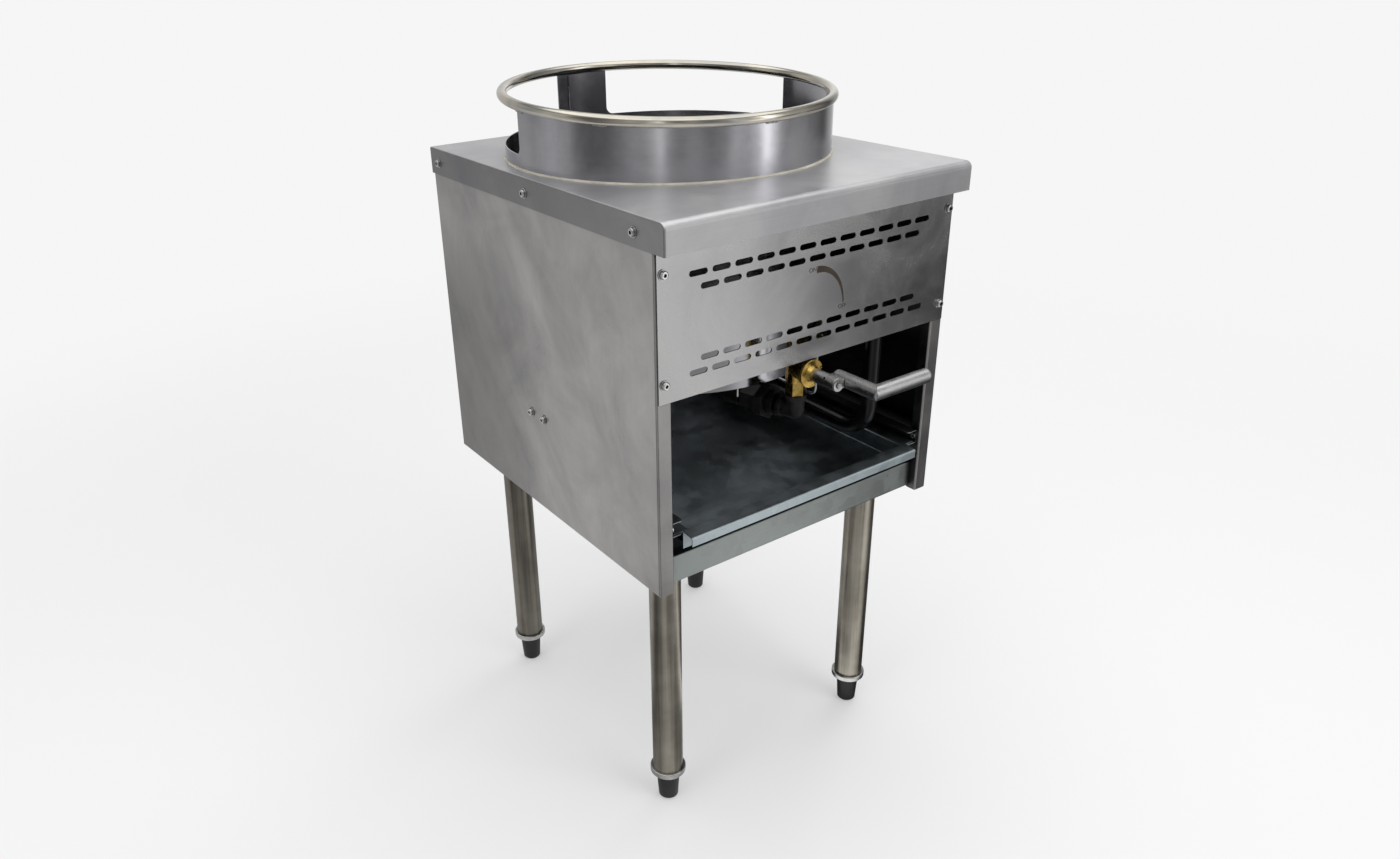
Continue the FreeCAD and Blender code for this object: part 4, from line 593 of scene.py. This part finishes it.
def turned_brass(name, colour, rough):
    """Brass with turning lines and slight tarnish, painted shade in its hollows and towards the rear, and
    bare steel at the stem's end.
    """
    finish = Finish(name)
    red, green, blue = colour
    stem_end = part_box("lever_sleeve")[0].y - 1.6 * MM
    rings = finish.noise(finish.place((260.0, 1400.0, 260.0)), 1.0, 3.0)
    tarnish = finish.noise(finish.place(), 55.0, 4.0, 0.6, 0.4)
    body = finish.blend(finish.spread(tarnish, 0.35, 0.72), (red * 0.55, green * 0.50, blue * 0.42),
                        (min(1.0, red * 1.20), green * 1.20, blue * 1.25))
    # painted shade: darker where other surfaces stand close
    body = finish.dimmed(body, finish.shelter(0.05, 0.25, 0.85, 0.12))
    # painted shade: dark towards the rear
    body = finish.dimmed(body, finish.spread(finish.along("Y"), -0.205, -0.185, 1.0, 0.12))
    bare = finish.spread(finish.along("Y"), stem_end + 0.5 * MM, stem_end)
    body = finish.blend(bare, body, (0.75, 0.75, 0.74))
    gloss = finish.spread(finish.sum(rings, tarnish), 0.7, 1.3, rough - 0.07, rough + 0.12)
    finish.metal(body, gloss)
    finish.relief(rings, 0.03 * MM, 0.4)
    return finish.material


def valve_brass():
    """Valve body, disc and tips."""
    return turned_brass("valve_brass", colours().brass, rough=0.22)


def plug_brass():
    """Lapped plug and stem."""
    return turned_brass("plug_brass", tinted(colours().brass, 0.75), rough=0.36)


def matt(name, colour, grit, rough, lift):
    """A matt moulded or set surface with a fine skin and rubbed patches."""
    finish = Finish(name)
    skin = finish.noise(finish.place(), grit, 4.0, 0.6)
    patches = finish.noise(finish.place(), 45.0, 3.0, 0.6)
    body = finish.blend(finish.spread(patches, 0.35, 0.75), tinted(colour, 0.8), tinted(colour, lift))
    finish.dress({"Base Color": body, "Roughness": finish.spread(skin, 0.3, 0.7, rough - 0.06, rough + 0.08)})
    finish.relief(skin, 0.1 * MM, 0.4)
    return finish.material


def foot_charcoal():
    """Charcoal feet."""
    return matt("foot_charcoal", colours().charcoal, grit=700.0, rough=0.45, lift=1.9)


def drum_sealant():
    """Bead of sealant."""
    return matt("drum_sealant", colours().sealant, grit=500.0, rough=0.60, lift=1.1)


def printed_mark():
    """Print on the front panel."""
    return matt("printed_mark", colours().mark, grit=900.0, rough=0.50, lift=1.25)


def weld_metal():
    """Weld metal, slightly blued."""
    finish = Finish("weld_metal")
    heat = finish.noise(finish.place(), 160.0, 3.0, 0.6)
    body = finish.blend(finish.spread(heat, 0.35, 0.7), (0.30, 0.29, 0.30), (0.55, 0.53, 0.50))
    finish.metal(body, finish.spread(heat, 0.3, 0.7, 0.22, 0.42))
    finish.relief(heat, 0.1 * MM, 0.4)
    return finish.material


SLOT_FINISHES = {
    "stainless": side_sheet, "stainless_satin": front_sheet, "stainless_cover": cover_sheet,
    "stainless_drum": drum_sheet, "stainless_ring": ring_bar, "leg_steel": leg_tube,
    "bright_steel": bright_socket, "zinc": zinc_screw, "lever_steel": worn_lever,
    "galvanized": galvanized_channel, "galvanized_tray": tray_sheet, "sealant": drum_sealant,
    "foot_dark": foot_charcoal, "black_steel": black_bar, "cast_iron": burner_iron,
    "malleable_iron": malleable_fitting, "black_pipe": lacquered_pipe, "brass": valve_brass,
    "brass_dark": plug_brass, "pilot_aluminium": drawn_aluminium,
}


def made_once(builder):
    """A finish's material, made the first time it is asked for."""
    found = bpy.data.materials.get(builder.__name__)
    return found if found else builder()


# ---- mesh tools ------------------------------------------------------------------
RANDOM_LEAST, RANDOM_MOST, RANDOM_VALUE = 2, 3, 1  # the plain number sockets of a random value node


def linked(name, data):
    """A new object in the scene."""
    made = bpy.data.objects.new(name, data)
    bpy.context.scene.collection.objects.link(made)
    return made


def built(name, shape):
    """The mesh of a finished shape."""
    mesh = bpy.data.meshes.new(name)
    shape.to_mesh(mesh)
    shape.free()
    return mesh


def plain_mesh(holder):
    """The mesh that an object's curve or modifier makes; the object itself goes."""
    view = bpy.context.evaluated_depsgraph_get()
    mesh = bpy.data.meshes.new_from_object(holder.evaluated_get(view), depsgraph=view)
    holder.modifiers.clear()
    bpy.data.objects.remove(holder)
    return mesh


def new_piece(name, mesh, body, material=None):
    """Link a finished mesh as a piece that rides on a body."""
    mesh.name = name
    piece = linked(name, mesh)
    if material:
        mesh.materials.clear()
        mesh.materials.append(material)
    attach(piece, body)


def line_mesh(name, lines):
    """A mesh of open lines, each a list of points."""
    mesh = bpy.data.meshes.new(name)
    points = []
    edges = []
    for line in lines:
        start = len(points)
        points.extend(line)
        edges.extend((start + i, start + i + 1) for i in range(len(line) - 1))
    mesh.from_pydata(points, edges, [])
    return mesh


def grown(name, lines, tree, values):
    """The plain mesh that a node tree grows on lines, with the tree's one material."""
    holder = linked(name + "_lines", line_mesh(name + "_lines", lines))
    modifier = holder.modifiers.new("grow", "NODES")
    modifier.node_group = tree
    for item in tree.interface.items_tree:
        if item.item_type == "SOCKET" and item.in_out == "INPUT" and item.name in values:
            modifier[item.identifier] = values[item.name]
    mesh = plain_mesh(holder)
    painted = mesh.materials[len(mesh.materials) - 1]
    mesh.materials.clear()
    mesh.materials.append(painted)
    mesh.polygons.foreach_set("material_index", [0] * len(mesh.polygons))
    return mesh


def node_tree(name, inputs):
    """An empty geometry tree with named inputs."""
    tree = bpy.data.node_groups.new(name, "GeometryNodeTree")
    tree.interface.new_socket("Geometry", in_out="INPUT", socket_type="NodeSocketGeometry")
    for label, kind, default in inputs:
        socket = tree.interface.new_socket(label, in_out="INPUT", socket_type=kind)
        socket.default_value = default
    tree.interface.new_socket("Geometry", in_out="OUTPUT", socket_type="NodeSocketGeometry")
    entry = tree.nodes.new("NodeGroupInput")
    leave = tree.nodes.new("NodeGroupOutput")
    return tree, entry, leave


def finish_tree(tree, leave, shape, material):
    """Real geometry with a material, at the end of a tree."""
    real = put(tree, "GeometryNodeRealizeInstances", {"Geometry": shape})
    painted = put(tree, "GeometryNodeSetMaterial", {"Geometry": real.outputs["Geometry"],
                                                    "Material": material})
    tree.links.new(painted.outputs["Geometry"], leave.inputs["Geometry"])


def spaced_points(tree, entry, spacing):
    """Points at even spacing along the incoming lines, with their turn along the line."""
    curve = put(tree, "GeometryNodeMeshToCurve", {"Mesh": entry.outputs["Geometry"]})
    return put(tree, "GeometryNodeCurveToPoints", {"Curve": curve.outputs["Curve"],
                                                   "Length": entry.outputs[spacing]}, mode="LENGTH")


def spread_on(tree, points, shape, size=1.0):
    """One shape on each point, turned along the line."""
    return put(tree, "GeometryNodeInstanceOnPoints", {
        "Points": points.outputs["Points"], "Instance": shape, "Rotation": points.outputs["Rotation"],
        "Scale": size if isinstance(size, bpy.types.NodeSocket) else (size, size, size)}).outputs["Instances"]


def bead_tree():
    """Overlapping ripples of a weld bead along a line."""
    tree, entry, leave = node_tree("weld_bead", [
        ("Radius", "NodeSocketFloat", 0.002), ("Ripple", "NodeSocketFloat", 0.0011),
        ("Unevenness", "NodeSocketFloat", 0.2), ("Seed", "NodeSocketInt", 7)])
    ball = put(tree, "GeometryNodeMeshUVSphere", {"Segments": 10, "Rings": 6,
                                                  "Radius": entry.outputs["Radius"]})
    smooth = put(tree, "GeometryNodeSetShadeSmooth", {"Geometry": ball.outputs["Mesh"]})
    least = put(tree, "ShaderNodeMath", {0: 1.0, 1: entry.outputs["Unevenness"]}, operation="SUBTRACT")
    size = put(tree, "FunctionNodeRandomValue", {RANDOM_LEAST: least.outputs[0], RANDOM_MOST: 1.0,
                                                 "Seed": entry.outputs["Seed"]}, data_type="FLOAT")
    ripples = spread_on(tree, spaced_points(tree, entry, "Ripple"), smooth.outputs["Geometry"],
                        size.outputs[RANDOM_VALUE])
    finish_tree(tree, leave, ripples, made_once(weld_metal))
    return tree


def thread_tree():
    """Ridges of a thread along a straight line."""
    tree, entry, leave = node_tree("thread_ridges", [
        ("Radius", "NodeSocketFloat", 0.01), ("Ridge", "NodeSocketFloat", 0.0004),
        ("Pitch", "NodeSocketFloat", 0.0018)])
    hoop = put(tree, "GeometryNodeCurvePrimitiveCircle", {"Resolution": 40,
                                                          "Radius": entry.outputs["Radius"]})
    section = put(tree, "GeometryNodeCurvePrimitiveCircle", {"Resolution": 6,
                                                             "Radius": entry.outputs["Ridge"]})
    ridge = put(tree, "GeometryNodeCurveToMesh", {"Curve": hoop.outputs["Curve"],
                                                  "Profile Curve": section.outputs["Curve"]})
    ridges = spread_on(tree, spaced_points(tree, entry, "Pitch"), ridge.outputs["Mesh"])
    finish_tree(tree, leave, ridges, made_once(lacquered_pipe))
    return tree


def weld_values(radius):
    """Inputs of the weld tree for one bead radius."""
    weld = settings().weld
    return {"Radius": radius, "Ripple": weld.ripple, "Unevenness": weld.unevenness, "Seed": weld.seed}


def middle(node):
    """Middle of a CAD node's box."""
    low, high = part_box(node)
    return (low + high) / 2


# ---- operators -------------------------------------------------------------------
class WOKRANGE_OT_finishes(bpy.types.Operator):
    """Give every piece of the range its finish"""
    bl_idname = "wok_range.finishes"
    bl_label = "Finishes"

    def execute(self, context):
        for row in frame["record"]["subparts"]:
            builder = SLOT_FINISHES[row["material_slot"]]
            mesh = frame["nodes"][row["node"]].data
            mesh.materials.clear()
            mesh.materials.append(made_once(builder))
        return {"FINISHED"}


WORDS = (("ON", -6.7 * MM, 744.5 * MM), ("OFF", 43.4 * MM, 691.0 * MM))  # middle and foot of each word
CAPITAL_SHARE = 0.7  # height of a capital letter in the font's size


class WOKRANGE_OT_panel_marks(bpy.types.Operator):
    """Print the tapered quarter arc and its two words on the front panel"""
    bl_idname = "wok_range.panel_marks"
    bl_label = "Panel marks"

    def execute(self, context):
        mark = settings().mark
        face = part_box("front_panel")[0].y
        new_piece("dial_arc", self.arc_mesh(mark, face), "cabinet",
                  made_once(printed_mark))
        shape = bmesh.new()
        for text, x, z in WORDS:
            shape.from_mesh(self.word_mesh(mark, face, text, x, z))
        new_piece("dial_words", built("dial_words", shape), "cabinet",
                  made_once(printed_mark))
        return {"FINISHED"}

    @staticmethod
    def arc_mesh(mark, face):
        """A quarter arc whose width falls from the open end to the closed end."""
        shape = bmesh.new()
        rows = []
        for i in range(mark.steps + 1):
            share = i / mark.steps
            turn = math.pi / 2 * (1 - share)
            width = mark.wide_end + (mark.narrow_end - mark.wide_end) * share
            row = []
            for inset in (0.0, width):
                for depth in (0.0, mark.print_thickness):
                    row.append(shape.verts.new(((mark.arc_across - inset) * math.cos(turn), face - depth,
                                                mark.arc_height + (mark.arc_rise - inset) * math.sin(turn))))
            rows.append(row)
        for before, after in zip(rows, rows[1:]):
            shape.faces.new((before[1], after[1], after[3], before[3]))
            shape.faces.new((before[0], before[2], after[2], after[0]))
            shape.faces.new((before[0], after[0], after[1], before[1]))
            shape.faces.new((before[2], before[3], after[3], after[2]))
        shape.faces.new((rows[0][0], rows[0][1], rows[0][3], rows[0][2]))
        shape.faces.new((rows[-1][0], rows[-1][2], rows[-1][3], rows[-1][1]))
        bmesh.ops.recalc_face_normals(shape, faces=shape.faces)
        return built("dial_arc", shape)

    @staticmethod
    def word_mesh(mark, face, text, x, z):
        """A word that lies on the panel, centred on x with its foot at z."""
        curve = bpy.data.curves.new("word", "FONT")
        curve.body = text
        curve.align_x = "CENTER"
        curve.size = mark.letter / CAPITAL_SHARE
        curve.extrude = mark.print_thickness / 2
        curve.resolution_u = 3
        mesh = plain_mesh(linked("word", curve))
        mesh.transform(Matrix.Translation((x, face - mark.print_thickness / 2, z))
                       @ Matrix.Rotation(math.pi / 2, 4, "X"))
        return mesh


DRUM_WALL = 1.5 * MM  # thickness of the drum's sheet
TACK_ANGLES = (-147.0, -92.0, -37.0, -4.5, 90.0, 178.0)  # degrees round the drum
TACK_STEPS = (-0.036, -0.018, 0.0, 0.018, 0.036)  # radians each side of a tack's middle
SEAM_ANGLE = 96.0  # degrees round the drum


class WOKRANGE_OT_ring_welds(bpy.types.Operator):
    """Tack the ring to the drum"""
    bl_idname = "wok_range.ring_welds"
    bl_label = "Ring welds"

    def execute(self, context):
        low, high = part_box("wok_ring")
        centre = middle("wok_ring")
        drum_low, drum_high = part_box("fire_drum")
        wall_radius = (drum_high.x - drum_low.x) / 2
        ring_radius = wall_radius - DRUM_WALL / 2
        bar_radius = (high.x - low.x) / 2 - ring_radius
        slope = math.asin(((high.z - low.z) / 2 - bar_radius) / ring_radius)
        tack_radius = wall_radius + 0.4 * MM
        below = bar_radius * 0.96
        lines = []
        for degrees in TACK_ANGLES:
            turns = [math.radians(degrees) + step for step in TACK_STEPS]
            places = [(tack_radius * math.cos(turn), tack_radius * math.sin(turn)) for turn in turns]
            lines.append([(x, centre.y + y, centre.z + y * math.tan(slope) - below) for x, y in places])
        mesh = grown("ring_tacks", lines, bead_tree(), weld_values(settings().weld.tack))
        new_piece("ring_tacks", mesh, "cabinet")
        return {"FINISHED"}


class WOKRANGE_OT_lever_welds(bpy.types.Operator):
    """Weld the lever's rod to its sleeve, and its arm to the rod"""
    bl_idname = "wok_range.lever_welds"
    bl_label = "Lever welds"

    def execute(self, context):
        weld = settings().weld
        sleeve_low, sleeve_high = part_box("lever_sleeve")
        rod_low, rod_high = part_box("lever_rod")
        axis_z = (sleeve_low.z + sleeve_high.z) / 2
        side = sleeve_high.x + 0.2 * MM
        front = sleeve_low.y + 1.0 * MM
        back = rod_high.y - 2.5 * MM
        rise = (sleeve_high.z - sleeve_low.z) / 2 * 0.52
        points = range(9)
        lines = []
        for way in (-1, 1):
            lines.append([(side, front + (back - front) * i / 8, axis_z + way * rise) for i in points])
        lines.append([(side - 0.8 * MM, front - 0.4 * MM, axis_z + rise * (i - 4) / 4) for i in points])
        tree = bead_tree()
        mesh = grown("lever_weld", lines, tree, weld_values(weld.lever_bead))
        new_piece("lever_weld", mesh, "lever")
        mesh = grown("lever_mitre", [self.mitre_line(rod_low, rod_high, side, axis_z)], tree,
                     weld_values(weld.mitre))
        new_piece("lever_mitre", mesh, "lever")
        return {"FINISHED"}

    @staticmethod
    def mitre_line(rod_low, rod_high, side, axis_z):
        """The slanting joint of rod and arm, held inside their rounded corner."""
        rod_radius = (rod_high.z - rod_low.z) / 2
        corner_x = side + 9.2 * MM
        corner_y = rod_low.y + rod_radius
        corner_inset = 1.6 * MM
        line = []
        for i in range(33):
            turn = 2 * math.pi * i / 32
            reach = max(rod_radius * math.cos(turn), corner_inset - rod_radius)
            line.append((corner_x + reach, corner_y + reach, axis_z + rod_radius * math.sin(turn)))
        return line


class WOKRANGE_OT_pipe_threads(bpy.types.Operator):
    """Cut the pipe thread that shows on the gas inlet"""
    bl_idname = "wok_range.pipe_threads"
    bl_label = "Pipe threads"

    def execute(self, context):
        thread = settings().thread
        low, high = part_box("gas_inlet")
        inlet = middle("gas_inlet")
        line = [(inlet.x, high.y - back, inlet.z) for back in (thread.thread_length, 1.0 * MM)]
        mesh = grown("inlet_thread", [line], thread_tree(),
                     {"Radius": (high.x - low.x) / 2, "Ridge": thread.ridge, "Pitch": thread.pipe_pitch})
        new_piece("inlet_thread", mesh, "cabinet")
        return {"FINISHED"}


class WOKRANGE_OT_seam_welds(bpy.types.Operator):
    """Weld the drum's lapped seam"""
    bl_idname = "wok_range.seam_welds"
    bl_label = "Seam welds"

    def execute(self, context):
        low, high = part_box("fire_drum")
        turn = math.radians(SEAM_ANGLE)
        inner = (high.x - low.x) / 2 - 2 * DRUM_WALL
        x = inner * math.cos(turn)
        y = (low.y + high.y) / 2 + inner * math.sin(turn)
        seam = [(x, y, low.z + (high.z - low.z) * i / 40) for i in range(1, 39)]
        mesh = grown("drum_seam", [seam], bead_tree(), weld_values(settings().weld.seam))
        new_piece("drum_seam", mesh, "cabinet")
        return {"FINISHED"}


class WOKRANGE_OT_stage(bpy.types.Operator):
    """Set up the camera, the soft light and the pale floor"""
    bl_idname = "wok_range.stage"
    bl_label = "Stage"

    def execute(self, context):
        self.camera()
        self.floor()
        self.world()
        self.lamps()
        context.scene.view_settings.view_transform = "Standard"
        return {"FINISHED"}

    @staticmethod
    def camera():
        """Camera at the photograph's viewing angle."""
        studio = settings().studio
        ahead = Vector((math.cos(studio.tilt) * math.sin(studio.turn),
                        math.cos(studio.tilt) * math.cos(studio.turn), math.sin(studio.tilt)))
        level = Vector((math.cos(studio.turn), -math.sin(studio.turn), 0.0))
        upright = level.cross(ahead)
        right = math.cos(studio.roll) * level + math.sin(studio.roll) * upright
        above = -math.sin(studio.roll) * level + math.cos(studio.roll) * upright
        data = bpy.data.cameras.new("camera")
        data.sensor_width = SENSOR_WIDTH
        data.lens = studio.focal_pixels * SENSOR_WIDTH / PICTURE_WIDTH
        data.shift_x = (PICTURE_WIDTH / 2 - studio.centre_x) / PICTURE_WIDTH
        data.shift_y = (studio.centre_y - PICTURE_HEIGHT / 2) / PICTURE_WIDTH
        data.clip_end = 200.0
        camera = linked("camera", data)
        turned = Matrix((right, above, -ahead)).transposed().to_4x4()
        camera.matrix_world = Matrix.Translation((studio.place_x, studio.place_y, studio.place_z)) @ turned
        bpy.context.scene.camera = camera

    @staticmethod
    def floor():
        """A wide pale floor; reflections see the room's light and dark sides on it."""
        studio = settings().studio
        shape = bmesh.new()
        bmesh.ops.create_circle(shape, cap_ends=True, radius=60.0, segments=96)
        floor = linked("floor", built("floor", shape))
        finish = Finish("floor")
        where = finish.place()
        reach = finish.put("ShaderNodeVectorMath", {0: where}, operation="LENGTH").outputs["Value"]
        finish.dress({"Base Color": (*studio.floor, 1.0), "Roughness": 0.6, "Specular IOR Level": 0.2})
        white = finish.emission((*studio.backdrop, 1.0))
        room = finish.fade(finish.spread(reach, *FLOOR_BLEND),
                           finish.emission(room_tone(finish.tree, where, FLOOR_SIDES)),
                           finish.emission(room_tone(finish.tree, where)))
        far = finish.spread(reach, *FLOOR_FADE, studio.floor_lift, 1.0)
        ray = finish.put("ShaderNodeLightPath").outputs
        seen = finish.fade(finish.times(far, ray["Is Camera Ray"]), finish.surface.outputs["BSDF"], white)
        mirrored = finish.pair("MAXIMUM", ray["Is Glossy Ray"], ray["Is Transmission Ray"])
        fill(finish.tree, finish.output, {"Surface": finish.fade(mirrored, seen, room)})
        floor.data.materials.append(finish.material)

    @staticmethod
    def world():
        """White for the camera, soft grey for matt surfaces, and the room's sides for reflections."""
        studio = settings().studio
        world = bpy.data.worlds.new("studio")
        world.use_nodes = True
        bpy.context.scene.world = world
        tree = world.node_tree
        tree.nodes.clear()
        where = put(tree, "ShaderNodeTexCoord").outputs["Generated"]
        height = put(tree, "ShaderNodeSeparateXYZ", {"Vector": where}).outputs["Z"]
        rise = put(tree, "ShaderNodeMapRange", {"Value": height, "From Min": ROOM_TOP[0],
                                                "From Max": ROOM_TOP[1]}, interpolation_type="SMOOTHSTEP")
        sides = put(tree, "ShaderNodeMix", {"Factor": rise.outputs["Result"],
                                            COLOUR_A: room_tone(tree, where),
                                            COLOUR_B: tone_ramp(tree, height, ROOM_RISE)}, data_type="RGBA")
        room, soft, white = (put(tree, "ShaderNodeBackground", {"Color": colour}).outputs["Background"]
                             for colour in (sides.outputs[COLOUR_MIXED], (*studio.soft, 1.0),
                                            (*studio.backdrop, 1.0)))
        ray = put(tree, "ShaderNodeLightPath").outputs
        unseen = put(tree, "ShaderNodeMixShader", {0: ray["Is Diffuse Ray"], 1: room, 2: soft})
        whole = put(tree, "ShaderNodeMixShader", {0: ray["Is Camera Ray"], 1: unseen.outputs[0], 2: white})
        put(tree, "ShaderNodeOutputWorld", {"Surface": whole.outputs[0]})

    @staticmethod
    def lamps():
        """Large soft lamps above, in front and at the sides: name, place, aim, size and power."""
        rows = (
            ("lamp_above", (0.1, 0.1, 2.9), (0.0, 0.0, 0.8), 2.2, 34.0),
            ("lamp_front", (0.9, -2.6, 2.1), (0.0, 0.0, 0.6), 1.6, 26.0),
            ("lamp_left", (-2.8, -0.4, 1.7), (0.0, 0.0, 0.6), 1.3, 16.0),
            ("lamp_right", (2.6, 0.9, 1.9), (0.0, 0.0, 0.7), 1.2, 14.0),
        )
        for name, place, aim, size, power in rows:
            data = bpy.data.lights.new(name, "AREA")
            data.shape = "SQUARE"
            data.size = size
            data.energy = power
            lamp = linked(name, data)
            lamp.location = place
            lamp.visible_glossy = False
            lamp.rotation_mode = "QUATERNION"
            lamp.rotation_quaternion = (Vector(aim) - Vector(place)).to_track_quat("-Z", "Y")


class WOKRANGE_PT_panel(bpy.types.Panel):
    """Shows the range's operators and settings in the sidebar"""
    bl_idname = "WOKRANGE_PT_panel"
    bl_label = "Wok Range"
    bl_space_type = "VIEW_3D"
    bl_region_type = "UI"
    bl_category = "Wok Range"

    def draw(self, context):
        for operator in OPERATORS:
            self.layout.operator(operator.bl_idname)
        for group in ("finish", "mark", "weld", "thread", "studio"):
            box = self.layout.box()
            box.label(text=group.capitalize())
            values = getattr(context.scene.wok_range, group)
            for name in values.__annotations__:
                box.prop(values, name)


OPERATORS = (WOKRANGE_OT_stage, WOKRANGE_OT_finishes, WOKRANGE_OT_panel_marks, WOKRANGE_OT_ring_welds,
             WOKRANGE_OT_lever_welds, WOKRANGE_OT_pipe_threads, WOKRANGE_OT_seam_welds)
CLASSES = (FinishSettings, MarkSettings, WeldSettings, ThreadSettings, StudioSettings,
           WokRangeSettings, WOKRANGE_PT_panel) + OPERATORS


def register():
    """Register the classes and the scene's settings."""
    for kind in CLASSES:
        bpy.utils.register_class(kind)
    bpy.types.Scene.wok_range = PointerProperty(type=WokRangeSettings)


def unregister():
    """Take the classes and the settings away again."""
    del bpy.types.Scene.wok_range
    for kind in reversed(CLASSES):
        bpy.utils.unregister_class(kind)


def main():
    """Make everything."""
    register()
    for operator in OPERATORS:
        group, name = operator.bl_idname.split(".")
        getattr(getattr(bpy.ops, group), name)()
    bpy.context.view_layer.update()


if __name__ == "__main__":
    main()
